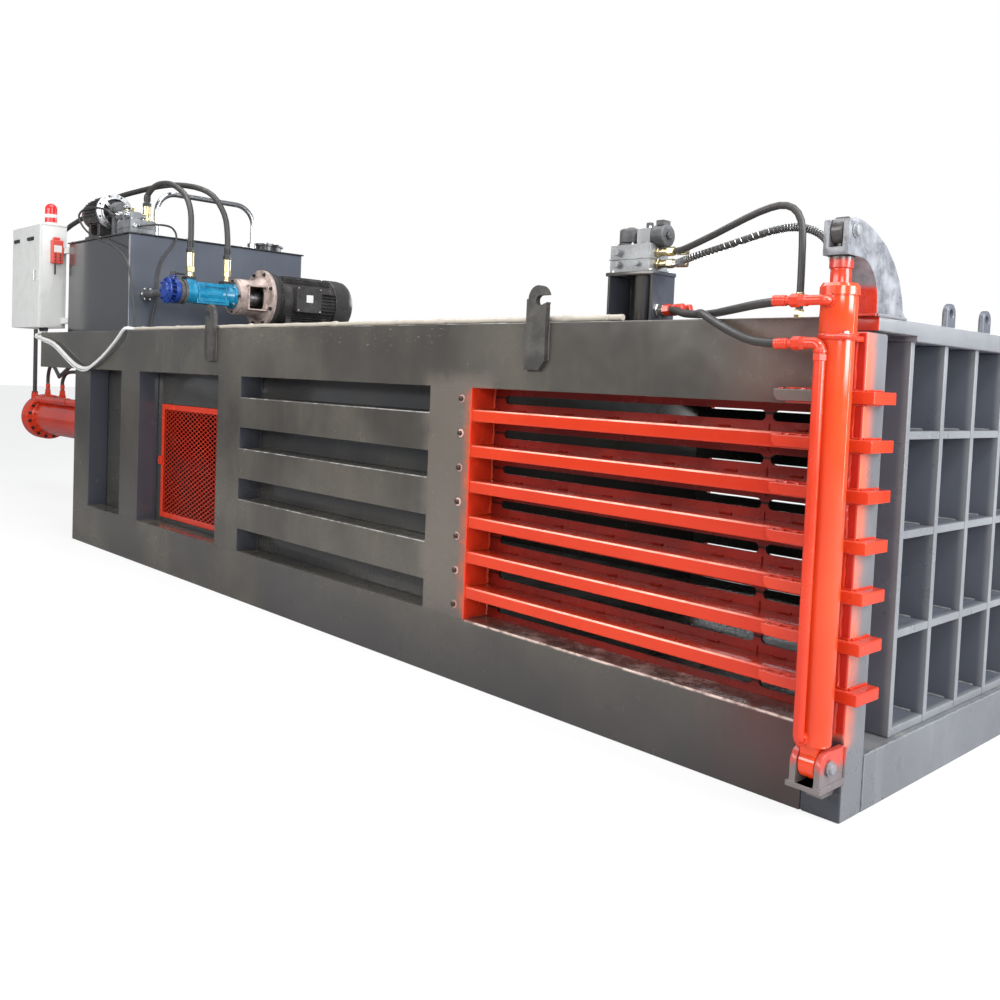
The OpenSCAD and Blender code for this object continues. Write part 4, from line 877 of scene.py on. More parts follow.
def boltRecipe():
    # hexagon head with a chamfered top on a washer, one per point, turned at random
    r = Recipe("hexBolt", {"Across": float, "High": float, "Washer": float, "Out": tuple, "Seed": int,
                           "Paint": bpy.types.Material})
    radius, high = r.maths("MULTIPLY", r.given["Across"], 0.577), r.given["High"]
    shank = r.node("GeometryNodeMeshCylinder", {"Vertices": 6, "Radius": radius, "Depth": high})
    rise = r.node("ShaderNodeCombineXYZ", {"Z": r.maths("MULTIPLY", high, 0.5)})
    shank = r.node("GeometryNodeTransform", {"Geometry": shank, "Translation": rise})
    crown = r.node("GeometryNodeMeshCone", {"Vertices": 6, "Radius Bottom": radius,
                                            "Radius Top": r.maths("MULTIPLY", radius, 0.82),
                                                  "Depth": r.maths("MULTIPLY", high, 0.14)})
    lift = r.node("ShaderNodeCombineXYZ", {"Z": high})
    crown = r.node("GeometryNodeTransform", {"Geometry": crown, "Translation": lift})
    washer = r.node("GeometryNodeMeshCylinder", {"Vertices": 24, "Radius": r.maths("MULTIPLY", r.given["Washer"], 0.5),
                                                       "Depth": r.maths("MULTIPLY", high, 0.36)})
    head = r.node("GeometryNodeJoinGeometry", {"Geometry": [shank, crown, washer]})
    turn = r.node("FunctionNodeRandomValue", {"Min": 0.0, "Max": 6.283, "Seed": r.given["Seed"]}, data_type="FLOAT")
    spin = r.node("ShaderNodeCombineXYZ", {"Z": turn})
    spin = r.node("FunctionNodeEulerToRotation", {"Euler": spin})
    aim = r.node("FunctionNodeAlignRotationToVector", {"Vector": r.given["Out"]}, axis="Z")
    both = r.node("FunctionNodeRotateRotation", {"Rotation": aim, "Rotate By": spin}, rotation_space="LOCAL")
    r.end(r.node("GeometryNodeInstanceOnPoints", {"Points": r.given["Geometry"], "Instance": head, "Rotation": both}))
    return r


def finRecipe():
    # cooling fins round an axis: one per point of a circle, standing out from it
    r = Recipe("coolingFins", {"Deep": float, "Thin": float, "Long": float, "Middle": tuple, "Axis": tuple,
                               "Paint": bpy.types.Material})
    size = r.node("ShaderNodeCombineXYZ", {"X": r.given["Deep"], "Y": r.given["Thin"], "Z": r.given["Long"]})
    fin = r.node("GeometryNodeMeshCube", {"Size": size})
    outward = r.maths("SUBTRACT", r.node("GeometryNodeInputPosition", {}), r.given["Middle"], "ShaderNodeVectorMath")
    along = r.node("FunctionNodeAlignRotationToVector", {"Vector": r.given["Axis"]}, axis="Z")
    aim = r.node("FunctionNodeAlignRotationToVector", {"Rotation": along, "Vector": outward}, axis="X", pivot_axis="Z")
    r.end(r.node("GeometryNodeInstanceOnPoints", {"Points": r.given["Geometry"], "Instance": fin, "Rotation": aim}))
    return r


def meshRecipe():
    # expanded metal: two crossing flat strands at every point
    r = Recipe("expandedMesh", {"Wide": float, "High": float, "Strand": float, "Thick": float,
                                "Paint": bpy.types.Material})
    wide, high = r.given["Wide"], r.given["High"]
    span = r.maths("SQRT", r.maths("ADD", r.maths("MULTIPLY", wide, wide), r.maths("MULTIPLY", high, high)), 0.0)
    size = r.node("ShaderNodeCombineXYZ", {"X": span, "Y": r.given["Thick"], "Z": r.given["Strand"]})
    slope = r.maths("ARCTAN2", high, wide)
    strands = []
    for sign in (1.0, -1.0):
        turn = r.node("ShaderNodeCombineXYZ", {"Y": r.maths("MULTIPLY", slope, sign)})
        turn = r.node("FunctionNodeEulerToRotation", {"Euler": turn})
        bar = r.node("GeometryNodeMeshCube", {"Size": size})
        strands.append(r.node("GeometryNodeTransform", {"Geometry": bar, "Rotation": turn}))
    cross = r.node("GeometryNodeJoinGeometry", {"Geometry": strands})
    r.end(r.node("GeometryNodeInstanceOnPoints", {"Points": r.given["Geometry"], "Instance": cross}))
    return r


weldBead, hexBolt, coolingFins, expandedMesh = beadRecipe(), boltRecipe(), finRecipe(), meshRecipe()


def weld(bm, name, paint, thick, step, wander, body="press"):
    weldBead.grow(bm, name, paint, body=body, Thick=thick, Step=step, Wander=wander)


def boltOn(places, name, paint, across, high, washer, out, seed, replaced=(), body="press"):
    hexBolt.at(places, name, paint, replaced, body, Across=across, High=high, Washer=washer, Out=out, Seed=seed)


upward, toGate, toNear, toFar = (0.0, 0.0, 1.0), (1.0, 0.0, 0.0), (0.0, -1.0, 0.0), (0.0, 1.0, 0.0)


def pierced(bm, outline, holes, axis, start, end):
    # a plate with holes through it
    fresh = bmesh.new()
    for loop in [outline] + holes:
        ring = [fresh.verts.new((p[0], p[1], 0)) for p in loop]
        for a, b in zip(ring, ring[1:] + ring[:1]):
            fresh.edges.new((a, b))
    bmesh.ops.triangle_fill(fresh, use_beauty=True, edges=fresh.edges[:])
    bmesh.ops.dissolve_limit(fresh, angle_limit=0.01, verts=fresh.verts[:], edges=fresh.edges[:])
    side = bmesh.ops.extrude_face_region(fresh, geom=fresh.faces[:])["geom"]
    for v in [v for v in side if isinstance(v, bmesh.types.BMVert)]:
        v.co.z = 1
    for v in fresh.verts:
        along = end if v.co.z > 0.5 else start
        p = v.co
        v.co = onAxis(axis, along, p.x, p.y)
    bmesh.ops.recalc_face_normals(fresh, faces=fresh.faces[:])
    addMesh(bm, fresh)


def cells(bm, rects, y0, y1):
    # overlapping rectangles in X and Z as one closed plate
    xs = sorted({x for r in rects for x in r[:2]})
    zs = sorted({z for r in rects for z in r[2:]})
    corners = {}

    def corner(i, j, y):
        if (i, j, y) not in corners:
            corners[(i, j, y)] = bm.verts.new((xs[i], y, zs[j]))
        return corners[(i, j, y)]

    def filled(i, j):
        if not (0 <= i < len(xs) - 1 and 0 <= j < len(zs) - 1):
            return False
        x, z = (xs[i] + xs[i + 1]) / 2, (zs[j] + zs[j + 1]) / 2
        return any(r[0] < x < r[1] and r[2] < z < r[3] for r in rects)

    faces = []
    for i in range(len(xs) - 1):
        for j in range(len(zs) - 1):
            if not filled(i, j):
                continue
            for y in (y0, y1):
                faces.append(bm.faces.new([corner(i, j, y), corner(i + 1, j, y), corner(i + 1, j + 1, y),
                                           corner(i, j + 1, y)]))
            sides = (((-1, 0), (i, j), (i, j + 1)), ((1, 0), (i + 1, j), (i + 1, j + 1)),
                     ((0, -1), (i, j), (i + 1, j)), ((0, 1), (i, j + 1), (i + 1, j + 1)))
            for (di, dj), a, b in sides:
                if not filled(i + di, j + dj):
                    faces.append(bm.faces.new([corner(*a, y0), corner(*b, y0), corner(*b, y1), corner(*a, y1)]))
    bmesh.ops.recalc_face_normals(bm, faces=faces)


# wall frame: beams, posts, jamb and ribs welded and ground to one face
wall = {"outer": 0.980, "inner": 0.830, "left": -3.415, "right": 3.265, "deck": -4.224, "sill": 0.308, "head": 1.401,
        "top": 1.700, "posts": [(-3.415, -3.103), (-2.500, -2.182), (-0.986, -0.692), (1.170, 1.479)],
        "ribs": (-0.692, 1.170), "ribZ": (0.448, 0.766, 1.084), "ribHigh": 0.188, "edge": 0.005}


def wallFrame():
    rects = [(wall["left"], wall["right"], 0, wall["sill"]), (wall["deck"], wall["right"], wall["head"], wall["top"])]
    rects += [(a, b, wall["sill"], wall["head"]) for a, b in wall["posts"]]
    rects += [(*wall["ribs"], z, z + wall["ribHigh"]) for z in wall["ribZ"]]
    bm = bmesh.new()
    cells(bm, rects, -wall["outer"], -wall["inner"])
    mirrored(bm)
    finishPiece(bm, "wallFrame", "frame_paint",
                ["bottom_beams", "top_beams", "side_posts", "jamb_plates", "side_ribs"], wall["edge"], 3)


def wallBeads():
    # ground seams on the face, and fillets in the corners of the recesses
    bm = bmesh.new()
    face, deep = -wall["outer"] + 0.0018, -wall["inner"] - 0.002
    for a, b in wall["posts"]:
        for z in (wall["sill"], wall["head"]):
            lines(bm, [(a + 0.004, face, z), (b - 0.004, face, z)])
    for z in wall["ribZ"]:
        for x in wall["ribs"]:
            lines(bm, [(x, face, z + 0.004), (x, face, z + wall["ribHigh"] - 0.004)])
    mirrored(bm)
    weld(bm, "groundSeams", "frame_paint", 0.0032, 0.007, 0.0022)
    bm = bmesh.new()
    for z in wall["ribZ"]:
        for edge in (z - 0.002, z + wall["ribHigh"] + 0.002):
            lines(bm, [(wall["ribs"][0] + 0.01, deep, edge), (wall["ribs"][1] - 0.01, deep, edge)])
    for z0, z1 in zip((0.31, 0.638, 0.956, 1.274), (0.446, 0.764, 1.082, 1.399)):
        for x in (wall["ribs"][0] + 0.002, wall["ribs"][1] - 0.002):
            lines(bm, [(x, deep, z0), (x, deep, z1)])
            lines(bm, [(x, deep, z0), (x, face, z0)])
    mirrored(bm)
    weld(bm, "recessFillets", "frame_paint", 0.0045, 0.009, 0.002)


def jambBolts():
    for name, side, nodes, seed in (("jambBoltsNear", -1.0, ["jamb_bolts"], 3), ("jambBoltsFar", 1.0, [], 4)):
        places = [(1.413, side * wall["outer"], 0.370 + 0.163 * i) for i in range(7)]
        boltOn(places, name, "bolt_steel", 0.0235, 0.0125, 0.039, (0.0, side, 0.0), seed, nodes)


# barred chamber: round-edged bars, a slotted liner behind them, fingers that hold the gate
chamber = {"left": 1.479, "right": 3.265, "linerEnd": 3.199, "barZ": [0.437 + 0.167 * i for i in range(6)],
           "barHalf": 0.0285,
           "slotHalf": 0.020, "slotFrom": 1.554, "slotTo": 2.958, "web": 0.030, "front": 0.978, "back": 0.830,
           "thin": 0.014}
slotMids = ([(0.308 + 0.437 - 0.0285) / 2] + [0.437 + (i - 0.5) * 0.167 for i in range(1, 6)]
            + [(1.401 + chamber["barZ"][5] + 0.0285) / 2])


def crossBars():
    bm = bmesh.new()
    for z in chamber["barZ"]:
        block(bm, chamber["left"], chamber["right"], -chamber["front"], -chamber["back"], z - chamber["barHalf"],
              z + chamber["barHalf"])
    mirrored(bm)
    finishPiece(bm, "crossBars", "bar_paint", ["cross_bars"], 0.009, 4)
    bm = bmesh.new()
    x, front, back = chamber["left"] + 0.002, -chamber["front"] - 0.001, -chamber["back"] - 0.004
    for z in chamber["barZ"]:
        for edge in (z - chamber["barHalf"] - 0.002, z + chamber["barHalf"] + 0.002):
            lines(bm, [(x, front + 0.006, edge), (x, back, edge)])
        lines(bm, [(x, front, z - chamber["barHalf"]), (x, front, z + chamber["barHalf"])])
    mirrored(bm)
    weld(bm, "barBeads", "cylinder_paint", 0.0055, 0.006, 0.005)
    bm = bmesh.new()
    stops = [0.315] + [z + s for z in chamber["barZ"] for s in (-0.034, 0.034)] + [1.395]
    for z0, z1 in zip(stops[::2], stops[1::2]):
        lines(bm, [(chamber["left"] + 0.004, back, z0), (chamber["left"] + 0.004, back, z1)])
    mirrored(bm)
    weld(bm, "jambBeads", "cylinder_paint", 0.0055, 0.006, 0.010)


def slottedLiner():
    # the slots have round ends and are open at the gate end
    outline = [(chamber["left"], 0.308)]
    holes = []
    half = chamber["slotHalf"]
    outline.append((chamber["linerEnd"], 0.308))
    for z in slotMids:
        outline += [(chamber["linerEnd"], z - half)]
        outline += [(p[0], p[1]) for p in arc((chamber["slotTo"] + chamber["web"] + half, z), half, 270, 90, 8)]
        outline += [(chamber["linerEnd"], z + half)]
        holes.append(arc((chamber["slotFrom"] + half, z), half, 90, 270, 8) + arc((chamber["slotTo"] - half, z), half,
                                                                                  -90, 90, 8))
    outline += [(chamber["linerEnd"], 1.401), (chamber["left"], 1.401)]
    bm = bmesh.new()
    pierced(bm, outline, holes, "y", -chamber["back"], -chamber["back"] + chamber["thin"])
    mirrored(bm)
    finishPiece(bm, "slottedLiner", "liner_paint", ["liner_bars"], angle=30)
    bm = bmesh.new()
    y = -chamber["back"] - 0.002
    for z in chamber["barZ"]:
        for edge in (z - chamber["barHalf"] - 0.003, z + chamber["barHalf"] + 0.003):
            for k in range(6):
                x = 1.62 + 0.29 * k + dice.uniform(-0.03, 0.03)
                lines(bm, [(x, y, edge), (x + 0.05, y, edge)])
    for z0, z1 in zip(slotMids, slotMids[1:]):
        lines(bm, [(2.974, y, z0 + 0.03), (2.974, y, z1 - 0.03)])
    mirrored(bm)
    weld(bm, "linerTacks", "liner_paint", 0.0045, 0.007, 0.003)


fingers = {"from": 3.092, "to": 3.465, "front": 1.008, "wrap": 0.850, "half": 0.021, "cut": 0.017,
           "z": chamber["barZ"] + [1.431]}


def fingerPlates():
    bm = bmesh.new()
    for z in fingers["z"]:
        one = bmesh.new()
        outline = [(fingers["from"], -fingers["front"]), (fingers["to"], -fingers["front"]),
                   (fingers["to"], -fingers["wrap"]),
                   (3.415, -fingers["wrap"]), (3.415, -0.980), (fingers["from"], -0.980)]
        plate(one, outline, "z", z - fingers["half"], z + fingers["half"])
        bmesh.ops.bisect_plane(one, geom=one.verts[:] + one.edges[:] + one.faces[:], clear_outer=True, dist=1e-5,
                               plane_co=(fingers["from"] + fingers["cut"], 0, z - fingers["half"]),
                               plane_no=(-1, 0, -1))
        bmesh.ops.holes_fill(one, edges=[e for e in one.edges if e.is_boundary])
        bmesh.ops.recalc_face_normals(one, faces=one.faces[:])
        addMesh(bm, one)
    mirrored(bm)
    finishPiece(bm, "fingerPlates", "finger_paint", ["post_fingers"], 0.004, 2)
    bm = bmesh.new()
    for z in fingers["z"]:
        for edge in (z - fingers["half"] - 0.002, z + fingers["half"] + 0.002):
            lines(bm, [(3.13, -0.982, edge), (3.412, -0.982, edge)])
            lines(bm, [(3.418, -0.974, edge), (3.418, -fingers["wrap"] - 0.004, edge)])
        for k in range(3):
            x = 3.10 + 0.045 * k + dice.uniform(-0.008, 0.008)
            lines(bm, [(x, -0.984 - 0.006 * k, z + fingers["half"]),
                       (x + 0.02, -0.987 - 0.006 * k, z + fingers["half"] + 0.001)])
    mirrored(bm)
    weld(bm, "fingerBeads", "red_paint", 0.0042, 0.006, 0.005)


def endPosts():
    bm = bmesh.new()
    block(bm, 3.265, 3.415, -0.980, -0.830, 0.0, 1.648)
    mirrored(bm)
    finishPiece(bm, "endPosts", "post_paint", ["end_posts"], 0.009, 4)
    bm = bmesh.new()
    block(bm, 3.265, 3.414, -0.8295, 0.8295, 0.0, 0.200)
    finishPiece(bm, "endSill", "post_paint", ["end_sill"], 0.006, 3)
    bm = bmesh.new()
    stops = [0.300] + [z + s for z in chamber["barZ"] + [1.431] for s in (-0.025, 0.025)] + [1.64]
    for z0, z1 in zip(stops[::2], stops[1::2]):
        lines(bm, [(3.380, -0.981, z0), (3.380, -0.981, z1)])
        lines(bm, [(3.267, -0.980, z0), (3.267, -0.980, z1)])
    mirrored(bm)
    weld(bm, "postBeads", "red_paint", 0.0058, 0.006, 0.012)
    bm = bmesh.new()
    lines(bm, [(3.415, -0.830, 0.01), (3.415, -0.830, 0.198)], [(3.330, -0.829, 0.202), (3.410, -0.829, 0.202)])
    mirrored(bm)
    lines(bm, [(3.410, -0.826, 0.200), (3.410, 0.826, 0.200)])
    weld(bm, "sillBeads", "gate_paint", 0.004, 0.008, 0.008)


for make in (wallFrame, wallBeads, jambBolts, crossBars, slottedLiner, fingerPlates, endPosts):
    make()
print("walls and chamber built")


# lifting gate: plate, upright ribs, shelves, top bar with two lugs
gate = {"back": 3.205, "mid": 3.235, "front": 3.385, "half": 0.826, "z0": 0.201, "z1": 1.706, "col": 0.287,
        "row": 0.362,
        "web": 0.030, "barZ": 1.637}


def liftingGate():
    bm = bmesh.new()
    block(bm, gate["back"], gate["mid"], -gate["half"], gate["half"], gate["z0"], gate["z1"])
    finishPiece(bm, "gatePlate", "gate_paint", ["gate_plate"], 0.003, body="gate")
    bm = bmesh.new()
    for i in range(-2, 3):
        y = i * gate["col"]
        block(bm, gate["mid"], gate["front"], y - 0.015, y + 0.015, gate["z0"], gate["barZ"])
    finishPiece(bm, "gateUprights", "gate_paint", ["gate_uprights"], 0.0035, 3, body="gate")
    bm = bmesh.new()
    for i in range(-2, 2):
        for j in range(4):
            z = gate["z0"] + j * gate["row"]
            block(bm, gate["mid"], gate["front"] - 0.002, i * gate["col"] + 0.015, (i + 1) * gate["col"] - 0.015, z,
                  z + gate["web"])
    finishPiece(bm, "gateShelves", "gate_paint", ["gate_shelves"], 0.0035, 3, body="gate")
    rounded("gate_top_bar", "gate_paint", 0.004, "gateTopBar")
    bm = bmesh.new()
    x, front = gate["mid"] + 0.002, gate["front"] - 0.004
    for i in range(-2, 3):
        for side in (-1, 1):
            if (i, side) in ((-2, -1), (2, 1)):
                lines(bm, [(x, i * gate["col"] + side * 0.017, 0.25), (x, i * gate["col"] + side * 0.017, 1.60)])
                continue
            y = i * gate["col"] + side * 0.0165
            for j in range(4):
                top = gate["z0"] + j * gate["row"] + gate["web"] + 0.0015
                roof = gate["z0"] + (j + 1) * gate["row"] - 0.0015 if j < 3 else gate["barZ"] - 0.0015
                lines(bm, [(x, y, top + 0.004), (x, y, top + dice.uniform(0.05, 0.09))])
                lines(bm, [(x, y, roof - dice.uniform(0.05, 0.09)), (x, y, roof - 0.004)])
                lines(bm, [(x + 0.004, y, top), (front - dice.uniform(0.03, 0.07), y, top)])
                lines(bm, [(x, y, (top + roof) / 2 - 0.03), (x, y, (top + roof) / 2 + 0.03)])
    for i in range(-2, 2):
        for j in range(4):
            top = gate["z0"] + j * gate["row"] + gate["web"] + 0.0015
            a, b = i * gate["col"] + 0.02, (i + 1) * gate["col"] - 0.02
            lines(bm, [(x, a, top), (x, a + dice.uniform(0.05, 0.08), top)],
                  [(x, b - dice.uniform(0.05, 0.08), top), (x, b, top)])
    weld(bm, "gateBeads", "bead_paint", 0.0045, 0.007, 0.004, body="gate")


liftingGate()


# lift cylinders, near side first and then mirrored
lift = {"x": 3.365, "y": -1.085, "foot": 0.222, "pin": 1.963}


def liftCylinders():
    bm = bmesh.new()
    at = (lift["x"], lift["y"])
    rings = [(0.288, 0.048), (0.292, 0.054), (0.297, 0.056), (1.628, 0.056), (1.630, 0.058), (1.634, 0.060),
             (1.752, 0.060),
             (1.7535, 0.0578), (1.7565, 0.0578), (1.758, 0.064), (1.784, 0.064), (1.795, 0.0565), (1.795, 0.044),
             (1.789, 0.042),
             (1.789, 0.0335)]
    turned(bm, "z", at, rings, 64)
    # set screws round the gland
    for k in range(4):
        a = math.radians(45 + 90 * k)
        rod(bm, "z", onCircle(at, 0.053, a), 1.787, 1.7965, 0.0035, sides=10)
    block(bm, at[0] - 0.030, at[0] + 0.030, at[1] - 0.036, at[1] + 0.036, lift["foot"] + 0.02, 0.290)
    turned(bm, "x", (at[1], lift["foot"]), [(at[0] - 0.030, 0.047), (at[0] - 0.027, 0.050), (at[0] + 0.027, 0.050),
                                            (at[0] + 0.030, 0.047)], 48)
    mirrored(bm)
    finishPiece(bm, "liftBarrels", "cylinder_paint", ["lift_barrels"], angle=28)
    bm = bmesh.new()
    for radius, z in ((0.057, 1.630), (0.0513, 0.291)):
        lines(bm, [(*onCircle(at, radius, 2 * math.pi * k / 40), z) for k in range(41)])
    mirrored(bm)
    weld(bm, "barrelBeads", "cylinder_paint", 0.0035, 0.006, 0.002)
    bm = bmesh.new()
    turned(bm, "z", at, [(0.482, 0.034), (1.7915, 0.034)], 56)
    mirrored(bm)
    finishPiece(bm, "liftRods", "rod_chrome", ["lift_rods"], angle=30, body="gate")
    # the rods' ends, sprayed over with the barrels
    bm = bmesh.new()
    turned(bm, "z", at, [(1.7910, 0.0335), (1.7915, 0.034), (1.834, 0.034), (1.837, 0.0325), (1.841, 0.0325),
                         (1.843, 0.034)], 56)
    mirrored(bm)
    finishPiece(bm, "rodEnds", "red_paint", angle=30, body="gate")
    bm = bmesh.new()
    turned(bm, "z", at, [(1.843, 0.034), (1.845, 0.038), (1.879, 0.038), (1.883, 0.034), (1.886, 0.020),
                         (1.927, 0.020)], 48)
    turned(bm, "x", (at[1], lift["pin"]), [(at[0] - 0.020, 0.043), (at[0] - 0.017, 0.046), (at[0] + 0.017, 0.046),
                                           (at[0] + 0.020, 0.043)], 48)
    mirrored(bm)
    finishPiece(bm, "rodEyes", "eye_paint", angle=28, body="gate")


def pinHead(bm, axisAt, x, radius):
    # washer and domed head of a pin, seen from the gate end
    turned(bm, "x", axisAt, [(x, radius * 1.28), (x + 0.004, radius * 1.28), (x + 0.0045, radius * 1.02),
                             (x + 0.010, radius * 1.0),
                             (x + 0.014, radius * 0.86), (x + 0.016, radius * 0.55), (x + 0.0165, 0.0)], 36)


def liftArms():
    rounded("lift_arms", "arm_paint", 0.0045, "liftArms")
    bm = bmesh.new()
    pinHead(bm, (lift["y"], lift["pin"]), 3.4088, 0.0185)
    turned(bm, "x", (lift["y"], lift["pin"]), [(3.309, 0.0), (3.309, 0.014), (3.3125, 0.021), (3.321, 0.021)], 32)
    rod(bm, "z", (3.3125, lift["y"]), lift["pin"] - 0.026, lift["pin"] + 0.026, 0.0028, sides=8)
    # clamp plates bolted to the arm's root on the top bar
    block(bm, 3.309, 3.4095, -0.850, -0.770, 1.7062, 1.7162)
    mirrored(bm)
    finishPiece(bm, "armPins", "gate_paint", bevel=0.0015, angle=35, body="gate")
    bm = bmesh.new()
    for x in (3.3195, 3.4105):
        lines(bm, [(x, -0.913, 1.708), (x, -0.700, 1.708)])
    lines(bm, [(3.322, -0.692, 1.708), (3.408, -0.692, 1.708)], [(3.322, -0.914, 1.708), (3.408, -0.914, 1.708)])
    mirrored(bm)
    weld(bm, "armBeads", "gate_paint", 0.005, 0.007, 0.004, body="gate")


def footClevises():
    rounded("foot_clevises", "foot_paint", 0.004, "footClevises")
    bm = bmesh.new()
    pinHead(bm, (lift["y"], lift["foot"]), 3.4258, 0.019)
    mirrored(bm)
    finishPiece(bm, "footPins", "gate_paint", angle=30)
    bm = bmesh.new()
    wallY, under = -0.982, 0.161
    for x in (3.309, 3.333, 3.397, 3.421):
        lines(bm, [(x, wallY, 0.165), (x, wallY, 0.268)])
        lines(bm, [(x, -1.135, under), (x, -0.990, under)])
    lines(bm, [(3.300, wallY, 0.141), (3.424, wallY, 0.141)])
    mirrored(bm)
    weld(bm, "footBeads", "foot_paint", 0.005, 0.006, 0.004)


def sidePipes():
    # steel pipe along the barrel, bent at the foot, with its nuts and the port stub above
    px, py = lift["x"] - 0.014, lift["y"] - 0.080
    bm = bmesh.new()
    bend = [(px, lift["y"] - 0.052, 0.314), (px, py + 0.020, 0.314)]
    bend += [(px, y, z) for y, z in arc((py + 0.020, 0.334), 0.020, 270, 180, 6)]
    path = [Vector(p) for p in bend + [(px, py, 0.60), (px, py, 1.10), (px, py, 1.575)]]
    path += [Vector((x, py, z)) for x, z in arc((px - 0.025, 1.575), 0.025, 0, 90,
                                                6)] + [Vector((px - 0.055, py, 1.600))]
    sweep(bm, path, 0.0185, 24)
    path = [Vector(p) for p in ((lift["x"] - 0.004, lift["y"] - 0.056, 1.737),
                                (lift["x"] - 0.004, lift["y"] - 0.066, 1.737))]
    path += [Vector((x, y, 1.737)) for x, y in arc((lift["x"] - 0.022, lift["y"] - 0.066), 0.018, 0, -90, 6)]
    path += [Vector((lift["x"] - 0.075, lift["y"] - 0.084, 1.737))]
    sweep(bm, path, 0.0165, 24)
    for z0, z1, r in ((1.543, 1.566, 0.0235), (1.567, 1.580, 0.0215)):
        rod(bm, "z", (px, py), z0, z1, r, 0.002, 6 if r > 0.022 else 28)
    rod(bm, "y", (px, 0.314), lift["y"] - 0.072, lift["y"] - 0.052, 0.024, 0.002, 28)
    rod(bm, "y", (lift["x"] - 0.004, 1.737), lift["y"] - 0.066, lift["y"] - 0.055, 0.022, 0.002, 28)
    rod(bm, "x", (py, 1.600), px - 0.070, px - 0.050, 0.0232, 0.002, 6)
    rod(bm, "x", (lift["y"] - 0.084, 1.737), lift["x"] - 0.096, lift["x"] - 0.066, 0.0212, 0.002, 6)
    mirrored(bm)
    finishPiece(bm, "sidePipes", "red_paint", ["side_pipes"], angle=30)
    rounded("barrel_clamps", "red_paint", 0.003, "barrelClamps")
    boltOn([(3.420, -1.130, 1.631), (3.345, -1.010, 1.631)], "clampBolts", "zinc", 0.014, 0.008, 0.022, upward, 5)


for make in (liftCylinders, liftArms, footClevises, sidePipes):
    make()
print("gate and lift cylinders built")


# valve stand: open box with a lid, the pipe in it, and the gate's manifold on top
stand = {"x0": 2.215, "x1": 2.449, "y0": -0.900, "y1": -0.750, "top": 1.907}


def valveStand():
    rounded("valve_stand", "frame_paint", 0.002, "valveStand")
    bm = bmesh.new()
    for y in (-0.860, -0.810):
        rods(bm, "x", (y, 1.750), (2.446, 2.462, 0.026, 0.002, 6), (2.462, 2.486, 0.0212, 0.002, 6))
    finishPiece(bm, "standPorts", "zinc", angle=30)
    boltOn([(2.235, -0.885, 1.9075), (2.430, -0.885, 1.9075), (2.235, -0.768, 1.9075), (2.430, -0.768, 1.9075)],
           "standBolts", "zinc", 0.013, 0.008, 0.020, upward, 6)


def gateManifold():
    bm = bmesh.new()
    x0, y0, top = stand["x0"], stand["y0"], stand["top"]
    block(bm, x0, x0 + 0.208, y0 + 0.010, y0 + 0.130, top, top + 0.112)
    block(bm, x0 + 0.120, x0 + 0.190, y0 + 0.030, y0 + 0.110, top + 0.111, top + 0.176)
    block(bm, x0 - 0.004, x0 + 0.212, y0 + 0.006, y0 + 0.134, top + 0.050, top + 0.056)
    finishPiece(bm, "gateManifold", "manifold_paint", ["gate_manifold"], 0.002, angle=35)
    bm = bmesh.new()
    rods(bm, "z", (x0 + 0.060, y0 + 0.070), (top + 0.111, top + 0.120, 0.055, 0.002),
         (top + 0.120, top + 0.182, 0.050, 0.006), (top + 0.182, top + 0.190, 0.018, 0.002, 6))
    rods(bm, "x", (y0 + 0.070, top + 0.144), (x0 + 0.189, x0 + 0.252, 0.0455, 0.004),
         (x0 + 0.252, x0 + 0.262, 0.017, 0.003, 6))
    rod(bm, "z", (x0 + 0.155, y0 + 0.070), top + 0.175, top + 0.203, 0.0165, 0.003, 6)
    block(bm, x0 + 0.205, x0 + 0.240, y0 + 0.046, y0 + 0.094, top + 0.186, top + 0.206)
    finishPiece(bm, "manifoldCoils", "valve_iron", angle=30)
    bm = bmesh.new()
    for z in (top + 0.030, top + 0.078):
        rods(bm, "x", (y0 + 0.060, z), (x0 + 0.207, x0 + 0.222, 0.022, 0.002, 6),
             (x0 + 0.222, x0 + 0.264, 0.0165, 0.002, 20))
    finishPiece(bm, "manifoldFittings", "brass", angle=30)
    bm = bmesh.new()
    for z in (top + 0.030, top + 0.078):
        rod(bm, "y", (x0 + 0.050, z), y0 - 0.012, y0 + 0.012, 0.014, 0.002, 6)
    rod(bm, "y", (x0 + 0.150, top + 0.030), y0 - 0.006, y0 + 0.012, 0.011, 0.002, 6)
    finishPiece(bm, "manifoldPlugs", "manifold_paint", angle=30)
    screws = [(x0 + a, y0 + b, top + 0.112) for a in (0.012, 0.108) for b in (0.022, 0.118)]
    screws += [(x0 + a, y0 + b, top + 0.1765) for a in (0.128, 0.182) for b in (0.038, 0.102)]
    boltOn(screws, "manifoldScrews", "zinc", 0.009, 0.007, 0.012, upward, 7)


hook = {"feet": ((-1.015, -1), (1.845, 1)), "z": 1.492, "eye": (0.068, 0.308), "eyeRadius": 0.058,
        "mouth": (0.080, 0.300), "mouthRadius": 0.023, "back": -0.980, "front": -1.005}


